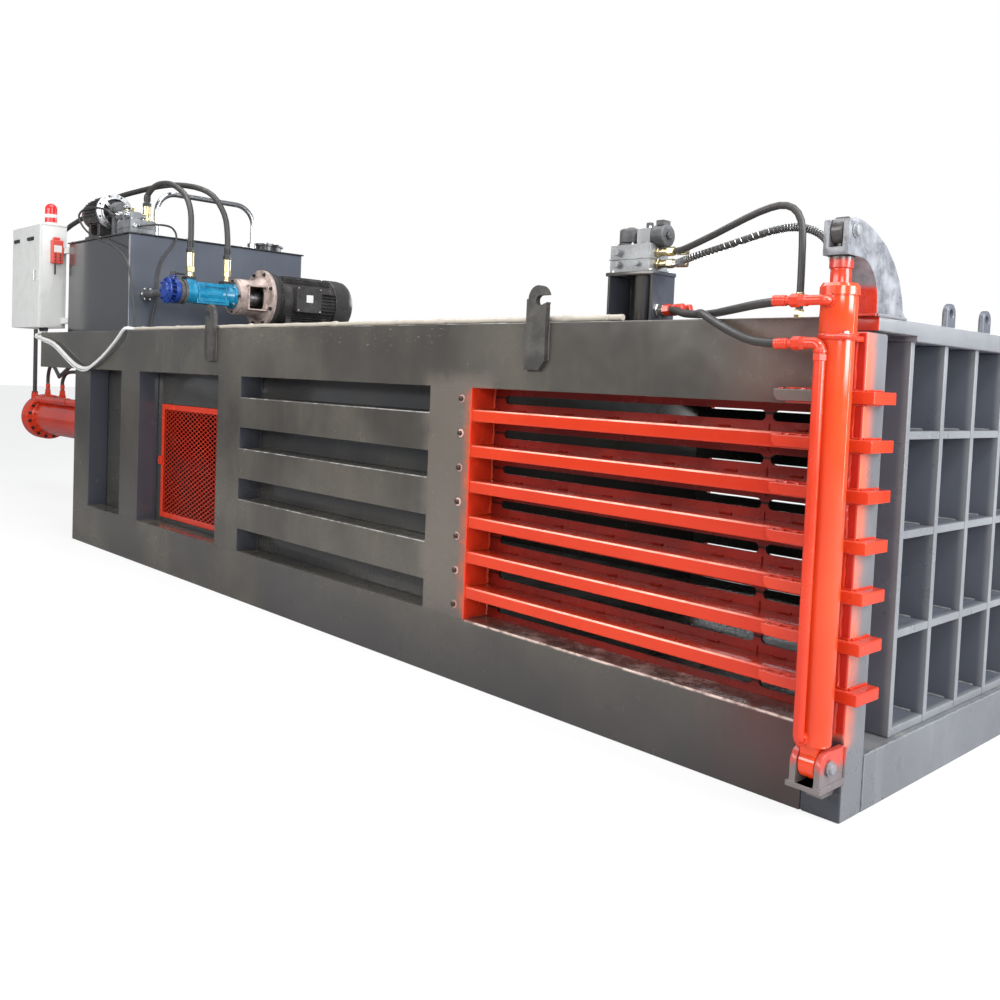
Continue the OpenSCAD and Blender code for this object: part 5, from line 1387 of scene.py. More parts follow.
def hooks():
    bm = bmesh.new()
    shape = [(0, 0), (0.085, 0), (0.120, 0.040), (0.120, 0.282)] + arc(hook["eye"], hook["eyeRadius"], -27, -16, 3)
    shape += arc(hook["mouth"], hook["mouthRadius"], 90, 270, 12)[::-1]
    shape += arc(hook["eye"], hook["eyeRadius"], 15, 180, 20) + [(0.0, 0.308)]
    for x, flip in hook["feet"]:
        plate(bm, [(x + flip * a, hook["z"] + b) for a, b in shape], "y", hook["front"], hook["back"])
    mirrored(bm)
    finishPiece(bm, "liftingHooks", "hook_steel", ["lifting_hooks"], 0.004, 3, angle=40)
    bm = bmesh.new()
    for x, flip in hook["feet"]:
        for a0, z0, a1, z1 in ((-0.002, 1.495, -0.002, 1.698), (0.002, 1.490, 0.083, 1.490),
                               (0.122, 1.535, 0.122, 1.698)):
            lines(bm, [(x + flip * a0, hook["back"] - 0.002, z0), (x + flip * a1, hook["back"] - 0.002, z1)])
    mirrored(bm)
    weld(bm, "hookBeads", "hook_steel", 0.006, 0.007, 0.004)


for make in (valveStand, gateManifold, hooks):
    make()
print("valve stand and hooks built")


# mesh doors: pressed frame, expanded metal, latch, hinge straps
door = {"x0": -2.112, "x1": -1.038, "z0": 0.341, "z1": 1.171, "face": -0.831, "back": -0.796, "rim": 0.039}


def meshDoor(name, body, side):
    bm = bmesh.new()
    d = door
    outer = [(d["x0"], d["z0"]), (d["x1"], d["z0"]), (d["x1"], d["z1"]), (d["x0"], d["z1"])]
    r = d["rim"]
    inner = [(d["x0"] + r, d["z0"] + r), (d["x1"] - r, d["z0"] + r), (d["x1"] - r, d["z1"] - r),
             (d["x0"] + r, d["z1"] - r)]
    pierced(bm, outer, [inner], "y", d["face"], d["face"] + 0.006)
    for x0, x1, z0, z1 in ((d["x0"], d["x1"], d["z0"], d["z0"] + 0.005), (d["x0"], d["x1"], d["z1"] - 0.005, d["z1"]),
                           (d["x0"], d["x0"] + 0.005, d["z0"] + 0.005, d["z1"] - 0.005),
                           (d["x1"] - 0.005, d["x1"], d["z0"] + 0.005, d["z1"] - 0.005)):
        block(bm, x0, x1, d["face"] + 0.006, d["back"], z0, z1)
    middle = (d["z0"] + d["z1"]) / 2
    block(bm, -2.141, -2.085, -0.839, -0.831, middle - 0.030, middle + 0.030)
    rod(bm, "y", (-2.128, middle), -0.846, -0.838, 0.010, 0.002, 6)
    for z in (0.428, 0.984):
        rod(bm, "z", (-1.042, -0.8405), z, z + 0.100, 0.009, 0.001, 28)
        block(bm, -1.086, -1.044, -0.839, -0.8305, z, z + 0.100)
    if side > 0:
        for v in bm.verts:
            v.co.y = -v.co.y
        bmesh.ops.reverse_faces(bm, faces=bm.faces[:])
    frameNode = "near_mesh_door" if side < 0 else "far_mesh_door"
    finishPiece(bm, name + "Frame", "red_paint", [frameNode], 0.0015, angle=35, body=body)
    wide, high = 0.0664, 0.0326
    nx, nz = int((d["x1"] - d["x0"] - 2 * r) / wide + 0.9), int((d["z1"] - d["z0"] - 2 * r) / high + 0.9)
    spots = [((d["x0"] + d["x1"]) / 2 + (i - (nx - 1) / 2) * wide, side * 0.8235, middle + (j - (nz - 1) / 2) * high)
             for i in range(nx) for j in range(nz)]
    expandedMesh.at(spots, name + "Mesh", "red_paint", body=body, Wide=wide, High=high, Strand=0.0045, Thick=0.0022)


meshDoor("nearDoor", "near_door", -1)
meshDoor("farDoor", "far_door", 1)
print("mesh doors built")


def hoop(bm, axis, centre, section, sides=48):
    # a ring: its closed section of (along, radius) points turned round the axis
    fresh = bmesh.new()
    turns = [2 * math.pi * k / sides for k in range(sides)]
    rings = [[fresh.verts.new(onAxis(axis, along, *onCircle(centre, radius, a))) for along,
              radius in section] for a in turns]
    n = len(section)
    for a, b in zip(rings, rings[1:] + rings[:1]):
        for i in range(n):
            fresh.faces.new((a[i], b[i], b[(i + 1) % n], a[(i + 1) % n]))
    bmesh.ops.recalc_face_normals(fresh, faces=fresh.faces[:])
    addMesh(bm, fresh)


# oil tank and what stands on it
tank = {"x0": -4.145, "x1": -2.877, "half": 0.785, "z0": 1.700, "top": 2.496}


def oilTank():
    bm = bmesh.new()
    block(bm, tank["x0"], tank["x1"], -tank["half"], tank["half"], tank["z0"], tank["top"] - 0.0115)
    finishPiece(bm, "oilTank", "tank_paint", ["oil_tank"], 0.010, 4)
    bm = bmesh.new()
    block(bm, tank["x0"] - 0.012, tank["x1"] + 0.012, -tank["half"] - 0.012, tank["half"] + 0.012, tank["top"] - 0.011,
          tank["top"])
    finishPiece(bm, "tankLid", "lid_paint", bevel=0.003)
    bm = bmesh.new()
    at = (-3.080, 0.530)
    turned(bm, "z", at, [(2.496, 0.152), (2.504, 0.152), (2.506, 0.136), (2.542, 0.136), (2.544, 0.155),
                         (2.560, 0.155), (2.5625, 0.152), (2.5625, 0.0)], 56)
    for a in (-0.035, 0.035):
        rod(bm, "z", (at[0] + a, at[1]), 2.5615, 2.580, 0.006, sides=12)
    rod(bm, "x", (at[1], 2.580), at[0] - 0.041, at[0] + 0.041, 0.006, 0.002, 12)
    finishPiece(bm, "tankCover", "lid_paint", angle=35)
    bolts = circleDots("z", at, 2.5620, 0.143, 12)
    bolts += [(x, s * 0.772, 2.4965) for x in (-4.1, -3.8, -3.5, -3.2) for s in (-1, 1)]
    bolts += [(-2.88, y, 2.4965) for y in (-0.3, 0.0, 0.2)]
    boltOn(bolts, "tankBolts", "zinc", 0.016, 0.009, 0.024, upward, 8)
    bm = bmesh.new()
    s, x1, z = tank["half"] + 0.002, tank["x1"] + 0.002, tank["z0"] + 0.002
    lines(bm, [(tank["x0"] + 0.01, -s, z), (x1 - 0.01, -s, z)], [(tank["x0"] + 0.01, s, z), (x1 - 0.01, s, z)],
          [(x1, -s + 0.01, z), (x1, s - 0.01, z)])
    weld(bm, "tankBeads", "tank_paint", 0.005, 0.010, 0.003)


def tankMotor():
    y, z = -0.680, 2.713
    bm = bmesh.new()
    turned(bm, "x", (y, z), [(-3.855, 0.0), (-3.855, 0.080), (-3.850, 0.108), (-3.835, 0.117), (-3.800, 0.118),
                             (-3.798, 0.112),
                             (-3.480, 0.112), (-3.478, 0.118), (-3.455, 0.118)], 48)
    block(bm, -3.785, -3.505, y - 0.105, y + 0.105, tank["top"], tank["top"] + 0.022)
    for x in (-3.765, -3.575):
        block(bm, x, x + 0.05, y - 0.085, y + 0.085, tank["top"] + 0.021, z - 0.075)
    block(bm, -3.72, -3.58, y - 0.055, y + 0.055, z + 0.095, z + 0.130)
    finishPiece(bm, "tankMotor", "motor_paint", ["tank_motor"], 0.003, angle=35)
    coolingFins.at(circleDots("x", (y, z), -3.645, 0.117, 30), "tankMotorFins", "motor_paint", Deep=0.028, Thin=0.0035,
                   Long=0.285, Middle=(-3.645, y, z), Axis=toGate)
    bm = bmesh.new()
    hoop(bm, "x", (y, z), [(-3.455, 0.108), (-3.455, 0.147), (-3.452, 0.150), (-3.430, 0.150), (-3.427, 0.147),
                           (-3.427, 0.108)], 64)
    hoop(bm, "x", (y, z), [(-3.427, 0.108), (-3.427, 0.116), (-3.405, 0.114), (-3.405, 0.106)], 64)
    spokes(bm, (0, y, z), "X", (45, 135, 225, 315), -3.450, -3.430, 0.050, 0.112, -0.014, 0.014)
    finishPiece(bm, "tankMotorRing", "ring_metal", angle=35)
    boltOn(circleDots("x", (y, z), -3.4275, 0.132, 8, 22), "ringBolts", "bolt_dark", 0.013, 0.008, 0.019, toGate, 9)
    bm = bmesh.new()
    turned(bm, "x", (y, z), [(-3.455, 0.060), (-3.420, 0.058), (-3.418, 0.050), (-3.385, 0.050), (-3.383, 0.073),
                             (-3.368, 0.075),
                             (-3.325, 0.075), (-3.322, 0.068), (-3.290, 0.064), (-3.285, 0.058), (-3.285, 0.0)], 40)
    block(bm, -3.345, -3.295, y - 0.058, y + 0.058, tank["top"], z - 0.03)
    finishPiece(bm, "tankPump", "valve_iron", bevel=0.002, angle=35)
    bm = bmesh.new()
    for dy, dz in ((0.030, 0.030), (-0.030, -0.030)):
        rods(bm, "x", (y + dy, z + dz), (-3.288, -3.272, 0.018, 0.002, 6), (-3.272, -3.262, 0.013, 0.002, 16))
    finishPiece(bm, "tankPumpPorts", "zinc", angle=35)


def tankValves():
    x1, top = tank["x1"], tank["top"]
    bm = bmesh.new()
    block(bm, x1 - 0.300, x1 - 0.040, -0.760, -0.558, top, top + 0.110)
    block(bm, x1 - 0.290, x1 - 0.190, -0.750, -0.670, top + 0.109, top + 0.190)
    block(bm, x1 - 0.150, x1 - 0.060, -0.750, -0.670, top + 0.109, top + 0.170)
    block(bm, x1 - 0.306, x1 - 0.034, -0.766, -0.552, top + 0.045, top + 0.053)
    finishPiece(bm, "tankValves", "manifold_paint", ["tank_valves"], 0.002, angle=35)
    bm = bmesh.new()
    for x, z, r, end in ((x1 - 0.240, top + 0.150, 0.031, -0.800), (x1 - 0.105, top + 0.142, 0.029, -0.790)):
        rods(bm, "y", (x, z), (end + 0.012, -0.720, r, 0.003), (end, end + 0.012, r * 0.5, 0.002, 6),
             (-0.672, -0.618, r * 0.9, 0.003), (-0.618, -0.606, r * 0.5, 0.002, 6))
    for dy in (-0.730, -0.690):
        rod(bm, "x", (dy, top + 0.055), x1 - 0.042, x1 - 0.018, 0.016, 0.002, 6)
    finishPiece(bm, "valveCoils", "zinc", angle=35)
    bm = bmesh.new()
    turned(bm, "z", (x1 - 0.110, -0.600), [(top + 0.109, 0.034), (top + 0.135, 0.034), (top + 0.137, 0.026),
                                           (top + 0.160, 0.026),
                                           (top + 0.162, 0.030), (top + 0.2295, 0.030)], 24)
    for x in (x1 - 0.240, x1 - 0.105):
        rod(bm, "z", (x, -0.710), top + 0.168, top + 0.205, 0.014, 0.002, 6)
    finishPiece(bm, "valveFittings", "brass", angle=35)
    bm = bmesh.new()
    block(bm, x1 - 0.280, x1 - 0.205, -0.668, -0.620, top + 0.110, top + 0.150)
    block(bm, x1 - 0.205, x1 - 0.155, -0.740, -0.700, top + 0.110, top + 0.140)
    finishPiece(bm, "valvePlugs", "valve_paint", bevel=0.004, angle=35)
    boltOn([(x1 - a, b, top + 0.1105) for a in (0.290, 0.050) for b in (-0.570, -0.655, -0.750)], "tankValveScrews",
           "zinc", 0.010, 0.008, 0.014, upward, 10)


def returnPipe():
    x, z, r, turn = -2.985, 2.860, 0.021, 0.165
    path = [Vector((x, -0.520, 2.560)), Vector((x, -0.520, 2.700))]
    path += [Vector((x, a, b)) for a, b in arc((-0.520 + turn, z - turn), turn, 180, 90, 10)]
    path += [Vector((x, a, b)) for a, b in arc((0.350 - turn, z - turn), turn, 90, 0, 10)]
    path += [Vector((x, 0.350, 2.500))]
    bm = bmesh.new()
    sweep(bm, path, r, 24)
    finishPiece(bm, "returnPipe", "pipe_grey", ["return_pipe"], angle=40)
    bm = bmesh.new()
    for y, low, high in ((-0.520, 2.497, 2.587), (0.350, 2.497, 2.537)):
        turned(bm, "z", (x, y), [(low, 0.044), (low + 0.008, 0.044), (low + 0.010, 0.032), (high - 0.003, 0.032),
                                 (high, 0.028)], 32)
        rod(bm, "z", (x, y), high - 0.001, high + 0.020, 0.029, 0.002, 6)
    finishPiece(bm, "returnPipeNuts", "zinc", angle=35)


# pump set on its rails
pump = {"x": -2.285, "z": 2.018, "port": -0.254, "portNear": -0.560, "valve": -0.692}


def pumpMotor():
    x, z = pump["x"], pump["z"]
    bm = bmesh.new()
    turned(bm, "y", (x, z), [(0.060, 0.120), (0.060, 0.226), (0.064, 0.230), (0.091, 0.230), (0.095, 0.226),
                             (0.097, 0.205),
                             (0.160, 0.196), (0.162, 0.188), (0.600, 0.188), (0.602, 0.190), (0.640, 0.190)], 72)
    turned(bm, "y", (x, z), [(0.630, 0.190), (0.630, 0.206), (0.634, 0.210), (0.740, 0.210), (0.780, 0.204),
                             (0.804, 0.188),
                             (0.815, 0.160), (0.815, 0.152), (0.809, 0.150), (0.809, 0.0)], 72)
    for r in (0.040, 0.068, 0.096, 0.124):
        hoop(bm, "y", (x, z), [(0.808, r - 0.003), (0.808, r + 0.003), (0.8145, r + 0.002), (0.8145, r - 0.002)], 48)
    spokes(bm, (x, 0, z), "Y", range(0, 360, 45), 0.02, 0.151, 0.807, 0.813, -0.003, 0.003)
    for y0 in (0.104, 0.118, 0.132, 0.146):
        hoop(bm, "y", (x, z), [(y0, 0.195), (y0, 0.207), (y0 + 0.005, 0.207), (y0 + 0.005, 0.195)], 64)
    block(bm, x - 0.075, x + 0.075, 0.215, 0.560, z + 0.150, z + 0.201)
    block(bm, x - 0.045, x + 0.045, 0.290, 0.390, z + 0.150, z + 0.204)
    block(bm, x + 0.140, x + 0.226, 0.240, 0.455, z - 0.085, z + 0.106)
    block(bm, x + 0.226, x + 0.250, 0.235, 0.460, z - 0.090, z + 0.112)
    for y0 in (0.180, 0.520):
        block(bm, x - 0.170, x + 0.170, y0, y0 + 0.070, z - 0.240, z - 0.218)
        for s in (-1, 1):
            a, b = sorted((x + s * 0.070, x + s * 0.150))
            block(bm, a, b, y0 + 0.012, y0 + 0.058, z - 0.219, z - 0.110)
    finishPiece(bm, "pumpMotor", "motor_paint", ["pump_motor"], 0.003, angle=35)
    fins = [p for p in circleDots("y", (x, z), 0.390, 0.194, 52) if not (p[0] > x + 0.11 and -0.10 < p[2] - z < 0.13)
            and not (p[2] > z and abs(p[0] - x) < 0.08)]
    coolingFins.at(fins, "pumpMotorFins", "motor_paint", Deep=0.020, Thin=0.004, Long=0.440, Middle=(x, 0.390, z),
                   Axis=toFar)
    coolingFins.at([(x + 0.188, 0.545, z - 0.085 + 0.026 * k) for k in range(7)], "sideFins", "motor_paint",
                   Deep=0.050, Thin=0.005, Long=0.160, Middle=(x - 0.6, 0.545, z), Axis=toFar)
    boltOn(circleDots("y", (x, z), 0.0297, 0.206, 8, 22), "flangeBolts", "bolt_dark", 0.022, 0.014, 0.032, toNear, 11)
    boltOn([(x + 0.2502, y, pz) for y in (0.247, 0.448) for pz in (z - 0.078, z + 0.100)], "terminalScrews", "zinc",
           0.009, 0.006, 0.013, toGate, 12)
    bm = bmesh.new()
    block(bm, x + 0.2495, x + 0.2515, 0.318, 0.380, z - 0.010, z + 0.050)
    finishPiece(bm, "terminalPlate", "label_blank", bevel=0.0006)


def pumpAndValve():
    x, z, far, near, v = pump["x"], pump["z"], pump["port"], pump["portNear"], pump["valve"]
    bm = bmesh.new()
    turned(bm, "y", (x, z), [(-0.603, 0.0), (-0.603, 0.074), (-0.598, 0.078), (-0.545, 0.078), (-0.541, 0.084),
                             (-0.528, 0.084),
                             (-0.524, 0.076), (-0.262, 0.076), (-0.250, 0.080), (-0.222, 0.084), (-0.220, 0.098),
                             (-0.201, 0.100),
                             (-0.2005, 0.0)], 56)
    block(bm, x - 0.068, x + 0.068, -0.530, -0.265, z - 0.080, z + 0.080)
    for side in (-1, 1):
        a, b = sorted((x + side * 0.060, x + side * 0.078))
        for top in (0.050, -0.062):
            block(bm, a, b, -0.470, -0.300, z + top, z + top + 0.013)
        for y0 in (-0.520, -0.300):
            block(bm, a, b, y0, y0 + 0.014, z - 0.062, z + 0.063)
        block(bm, min(a, x + side * 0.070), max(b, x + side * 0.070), -0.440, -0.320, z - 0.012, z + 0.012)
    block(bm, x - 0.045, x + 0.045, near - 0.042, near + 0.030, z + 0.020, z + 0.098)
    block(bm, x - 0.045, x + 0.045, far - 0.045, far + 0.030, z + 0.020, z + 0.090)
    finishPiece(bm, "doublePump", "pump_paint", ["double_pump"], 0.006, 3, angle=35)
    bm = bmesh.new()
    block(bm, x - 0.047, x + 0.047, near - 0.043, near + 0.032, z + 0.097, z + 0.119)
    block(bm, x - 0.047, x + 0.047, far - 0.045, far + 0.032, z + 0.089, z + 0.111)
    finishPiece(bm, "portFlanges", "black_plastic", bevel=0.003, angle=35)
    boltOn(circleDots("y", (x, z), -0.2205, 0.090, 4, 45) + circleDots("y", (x, z), -0.6655, 0.076, 4, 20),
           "pumpBolts", "zinc", 0.016, 0.012, 0.022, toNear, 13)
    bm = bmesh.new()
    for y, low, high in ((far, z + 0.110, z + 0.283), (near, z + 0.118, z + 0.303)):
        rods(bm, "z", (x, y), (low, low + 0.020, 0.026, 0.003, 28), (low + 0.019, low + 0.036, 0.022, 0.002, 28),
             (low + 0.034, low + 0.078, 0.032, 0.004, 6), (low + 0.077, high - 0.002, 0.0285, 0.002, 32))
    finishPiece(bm, "pumpFittings", "brass", angle=35)
    bm = bmesh.new()
    rods(bm, "y", (x, z), (-0.663, -0.642, 0.093, 0.003, 48), (-0.643, -0.623, 0.080, 0.003, 48),
         (-0.624, -0.604, 0.093, 0.003, 48))
    rods(bm, "x", (-0.634, z), (tank["x1"] + 0.018, x - 0.045, 0.030, 0.002, 40),
         (tank["x1"] + 0.0005, tank["x1"] + 0.020, 0.055, 0.002, 40))
    finishPiece(bm, "suctionBlock", "valve_iron", ["suction_valve"], angle=30)
    bm = bmesh.new()
    turned(bm, "y", (x, z), [(-0.764, 0.0), (-0.764, 0.050), (-0.760, 0.055), (-0.752, 0.060), (-0.750, 0.096),
                             (-0.747, 0.100),
                             (-0.738, 0.100), (-0.735, 0.096), (-0.733, 0.064), (-0.704, 0.062), (-0.700, 0.091),
                             (-0.696, 0.095),
                             (-0.668, 0.095), (-0.665, 0.091), (-0.665, 0.0)], 56)
    spokes(bm, (x, 0, z), "Y", [22.5 + 45 * k for k in range(8)], 0.055, 0.092, -0.737, -0.699, -0.005, 0.005)
    rods(bm, "z", (x, v), (z + 0.060, z + 0.108, 0.020, 0.002, 24), (z + 0.106, z + 0.1175, 0.030, 0.002, 24))
    finishPiece(bm, "suctionValve", "valve_paint", bevel=0.002, angle=35)
    boltOn(circleDots("y", (x, z), -0.7503, 0.080, 8, 0) + circleDots("y", (x, z), -0.6997, 0.080, 8, 0), "valveBolts",
           "valve_paint", 0.016, 0.012, 0.022, toNear, 14)
    boltOn(circleDots("x", (-0.634, z), tank["x1"] + 0.0202, 0.045, 6), "suctionBolts", "zinc", 0.012, 0.008, 0.018,
           toGate, 15)
    bm = bmesh.new()
    rod(bm, "z", (x, v), z + 0.1182, z + 0.146, 0.021, 0.003, 24)
    plate(bm, [(x - 0.010, v), (x + 0.010, v), (x + 0.009, v + 0.084), (x + 0.004, v + 0.092), (x - 0.004, v + 0.092),
               (x - 0.009, v + 0.084)],
          "z", z + 0.126, z + 0.138)
    finishPiece(bm, "valveLever", "black_plastic", ["valve_lever"], 0.0015, angle=35, body="lever")


def bellHousing():
    x, z = pump["x"], pump["z"]
    rounded("bell_housing", "housing_iron", 0.006, "bellHousing")
    bm = bmesh.new()
    for side in (-1, 1):
        a, b = sorted((x + side * 0.100, x + side * 0.150))
        for y0, y1, z0, z1 in ((-0.142, -0.129, -0.100, 0.092), (0.009, 0.021, -0.100, 0.092),
                               (-0.142, 0.021, 0.081, 0.092), (-0.142, 0.021, -0.102, -0.091)):
            block(bm, a, b, y0, y1, z + z0, z + z1)
    hoop(bm, "y", (x, z), [(-0.004, 0.140), (0.031, 0.176), (0.031, 0.140)], 72)
    hoop(bm, "y", (x, z), [(-0.176, 0.130), (-0.176, 0.138), (-0.160, 0.143), (-0.160, 0.130)], 72)
    finishPiece(bm, "bellRims", "housing_iron", bevel=0.004, angle=35)
    boltOn(circleDots("y", (x, z), -0.2005, 0.120, 4, 0), "bellBolts", "bolt_dark", 0.016, 0.010, 0.022, toNear, 16)
    bm = bmesh.new()
    profile = [(-0.110, 0.030), (-0.110, 0.056), (-0.106, 0.060), (-0.062, 0.060), (-0.060, 0.050), (-0.046, 0.050),
               (-0.044, 0.060),
               (0.056, 0.060), (0.0597, 0.056)]
    turned(bm, "y", (x, z), profile, 40)
    turned(bm, "y", (x, z), [(-0.199, 0.024), (-0.108, 0.024)], 24)
    finishPiece(bm, "shaftCoupling", "shaft_steel", ["shaft_coupling"], angle=30, body="coupling")
    boltOn([(x + 0.048, -0.085, z + 0.036), (x + 0.048, 0.020, z + 0.036)], "couplingScrews", "bolt_dark", 0.010,
           0.008, 0.012, (0.80, 0.0, 0.60), 17, body="coupling")


for make in (oilTank, tankMotor, tankValves, returnPipe, pumpMotor, pumpAndValve, bellHousing):
    make()
print("power pack built")


# cabinet, beacon and remote
cabinet = {"x0": -5.003, "x1": -4.307, "y0": -0.980, "y1": -0.748, "z0": 1.750, "z1": 2.650}


def controlCabinet():
    rounded("control_cabinet", "cabinet_paint", 0.002, "cabinetShell")
    c = cabinet
    bm = bmesh.new()
    block(bm, c["x0"] + 0.001, c["x1"] - 0.001, c["y0"], c["y0"] + 0.0215, c["z0"] + 0.001, c["z1"] - 0.001)
    for z in (c["z0"] + 0.120, c["z1"] - 0.160):
        rod(bm, "z", (c["x0"] - 0.008, c["y0"] + 0.011), z, z + 0.040, 0.007, 0.001, 20)
        block(bm, c["x0"] - 0.008, c["x0"] + 0.001, c["y0"] + 0.009, c["y0"] + 0.013, z, z + 0.040)
    finishPiece(bm, "cabinetDoor", "cabinet_paint", ["cabinet_door"], 0.0035, 3, angle=35, body="cabinet_door")
    bm = bmesh.new()
    for x0, x1 in ((c["x0"] + 0.054, c["x0"] + 0.190), (c["x1"] - 0.294, c["x1"] - 0.139)):
        block(bm, x0, x1, c["y0"] - 0.006, c["y0"] + 0.001, c["z1"] - 0.132, c["z1"] - 0.100)
        block(bm, x0 + 0.012, x1 - 0.040, c["y0"] - 0.014, c["y0"] - 0.005, c["z1"] - 0.128, c["z1"] - 0.104)
    finishPiece(bm, "cabinetLatches", "black_plastic", bevel=0.002, angle=35, body="cabinet_door")
    bm = bmesh.new()
    x = c["x1"] - 0.081
    for z in (c["z0"] + 0.418, c["z0"] + 0.502):
        rod(bm, "y", (x, z), c["y0"] - 0.018, c["y0"] + 0.001, 0.005, sides=14)
    rod(bm, "z", (x, c["y0"] - 0.016), c["z0"] + 0.410, c["z0"] + 0.510, 0.0055, 0.002, 16)
    rod(bm, "y", (x - 0.04, c["z0"] + 0.46), c["y0"] - 0.004, c["y0"] + 0.001, 0.011, 0.001, 20)
    finishPiece(bm, "cabinetHandle", "zinc", angle=35, body="cabinet_door")
    bm = bmesh.new()
    block(bm, c["x0"] - 0.004, c["x1"] + 0.004, c["y0"] + 0.024, c["y1"] + 0.004, c["z1"], c["z1"] + 0.008)
    block(bm, c["x0"] + 0.02, c["x1"] - 0.02, c["y1"] - 0.001, c["y1"] + 0.004, c["z0"] + 0.05, c["z0"] + 0.09)
    finishPiece(bm, "cabinetRoof", "cabinet_paint", bevel=0.002, angle=35)
    bm = bmesh.new()
    for k in range(3):
        rods(bm, "z", (c["x1"] - 0.060 - 0.07 * k, -0.890),
             (c["z0"] - 0.022, c["z0"] + 0.002, 0.017 - 0.002 * k, 0.002, 6),
             (c["z0"] - 0.034, c["z0"] - 0.021, 0.0145 - 0.002 * k, 0.002, 20))
    finishPiece(bm, "cableGlands", "black_plastic", angle=35)


def warningBeacon():
    at, z = (-4.385, -0.860), 2.650
    bm = bmesh.new()
    turned(bm, "z", at, [(z, 0.058), (z + 0.026, 0.058), (z + 0.030, 0.052)], 40)
    turned(bm, "z", at, [(z + 0.072, 0.0508), (z + 0.076, 0.052), (z + 0.098, 0.052), (z + 0.102, 0.0508)], 40)
    finishPiece(bm, "beaconBase", "lamp_white", angle=35)
    bm = bmesh.new()
    dome = [(z + 0.150 + 0.05 * math.sin(math.radians(a)), 0.05 * math.cos(math.radians(a))) for a in range(0, 91, 10)]
    wall = [(z + 0.030 + 0.0075 * k, 0.050 - (0.0012 if k % 2 else 0.0)) for k in range(16)]
    turned(bm, "z", at, wall + dome[:-1] + [(z + 0.200, 0.0)], 48)
    finishPiece(bm, "beaconLens", "lens_red", ["warning_beacon"], angle=50)


def handRemote():
    x0 = cabinet["x1"]
    bm = bmesh.new()
    block(bm, x0 + 0.0005, x0 + 0.048, -0.888, -0.790, 2.317, 2.523)
    block(bm, x0 + 0.0005, x0 + 0.020, -0.870, -0.808, 2.522, 2.550)
    finishPiece(bm, "handRemote", "remote_red", ["hand_remote"], 0.010, 4, angle=35)
    bm = bmesh.new()
    block(bm, x0 + 0.047, x0 + 0.0495, -0.872, -0.806, 2.415, 2.475)
    finishPiece(bm, "remotePlate", "label_blank", bevel=0.0008)
    bm = bmesh.new()
    rod(bm, "z", (x0 + 0.024, -0.852), 2.220, 2.320, 0.0075, 0.003, 16)
    for k in range(3):
        for s in (-1, 1):
            rod(bm, "x", (-0.839 + s * 0.020, 2.395 - 0.026 * k), x0 + 0.047, x0 + 0.053, 0.008, 0.0015, 20)
    finishPiece(bm, "remoteAerial", "black_plastic", angle=35)


def deckConduit():
    bm = bmesh.new()
    line = [Vector((-2.300 + 4.656 * k / 120, -0.958, 1.714 + 0.0011 * math.sin(k * 0.7))) for k in range(121)]
    sweep(bm, line, lambda i: 0.0125 + 0.0005 * math.sin(i * 1.9), 16)
    finishPiece(bm, "deckConduit", "conduit_white", ["deck_conduit"], angle=60)
    bm = bmesh.new()
    for x in (-2.18, -1.62, -0.62, 0.30, 1.22, 2.05):
        turned(bm, "x", (-0.958, 1.714), [(x - 0.026, 0.0132), (x - 0.022, 0.0155), (x, 0.0170), (x + 0.020, 0.0152),
                                          (x + 0.026, 0.0132)], 20)
    for x in (-1.95, -1.30, -0.10, 0.85, 1.60, 2.28):
        hoop(bm, "x", (-0.958, 1.714), [(x - 0.008, 0.0132), (x - 0.008, 0.0145), (x + 0.008, 0.0145),
                                        (x + 0.008, 0.0132)], 24)
        block(bm, x - 0.008, x + 0.008, -0.943, -0.915, 1.7003, 1.7020)
    finishPiece(bm, "conduitTape", "conduit_white", angle=40)


for make in (controlCabinet, warningBeacon, handRemote, deckConduit):
    make()
print("cabinet and conduit built")


# main cylinder, seen behind the walls
def mainCylinder():
    bm = bmesh.new()
    at, line = (0.0, 0.830), (-0.134, 1.028)
    rings = [(-6.985, 0.0), (-6.985, 0.235), (-6.970, 0.250), (-6.800, 0.250), (-6.785, 0.243), (-6.785, 0.200),
             (-6.775, 0.1925),
             (-1.266, 0.1925), (-1.264, 0.2275), (-1.149, 0.2275), (-1.145, 0.2235), (-1.145, 0.120), (-1.160, 0.1105)]
    turned(bm, "x", at, rings, 72)
    block(bm, -1.235, -1.155, -0.160, 0.160, 0.308, 0.700)
    for x, y in ((-6.895, -0.134), (-6.875, 0.0), (-6.430, 0.0)):
        rods(bm, "z", (x, y), (1.000, 1.1095, 0.030, 0.003, 28), (1.000, 1.086, 0.037, 0.004, 6))
    rod(bm, "x", line, -6.795, -4.424, 0.038, 0.006, 32)
    rod(bm, "z", (-4.462, -0.134), 0.930, 1.030, 0.037, 0.004, 32)
    for x in (-6.60, -5.90, -5.20, -4.70):
        hoop(bm, "x", line, [(x - 0.020, 0.037), (x - 0.020, 0.044), (x + 0.020, 0.044), (x + 0.020, 0.037)], 32)
        block(bm, x - 0.016, x + 0.016, -0.130, -0.085, 0.985, 1.020)
    finishPiece(bm, "mainBarrel", "barrel_paint", ["main_barrel"], angle=30)
    boltOn(circleDots("x", at, -1.1449, 0.205, 16) + circleDots("x", at, -6.7849, 0.222, 16, 11), "headBolts",
           "bolt_dark", 0.024, 0.015, 0.034, toGate, 18)
    bm = bmesh.new()
    lines(bm, [(-6.778, *onCircle(at, 0.1945, 2 * math.pi * k / 60)) for k in range(61)])
    weld(bm, "mainBeads", "red_paint", 0.007, 0.010, 0.003)


mainCylinder()
print("main cylinder built")


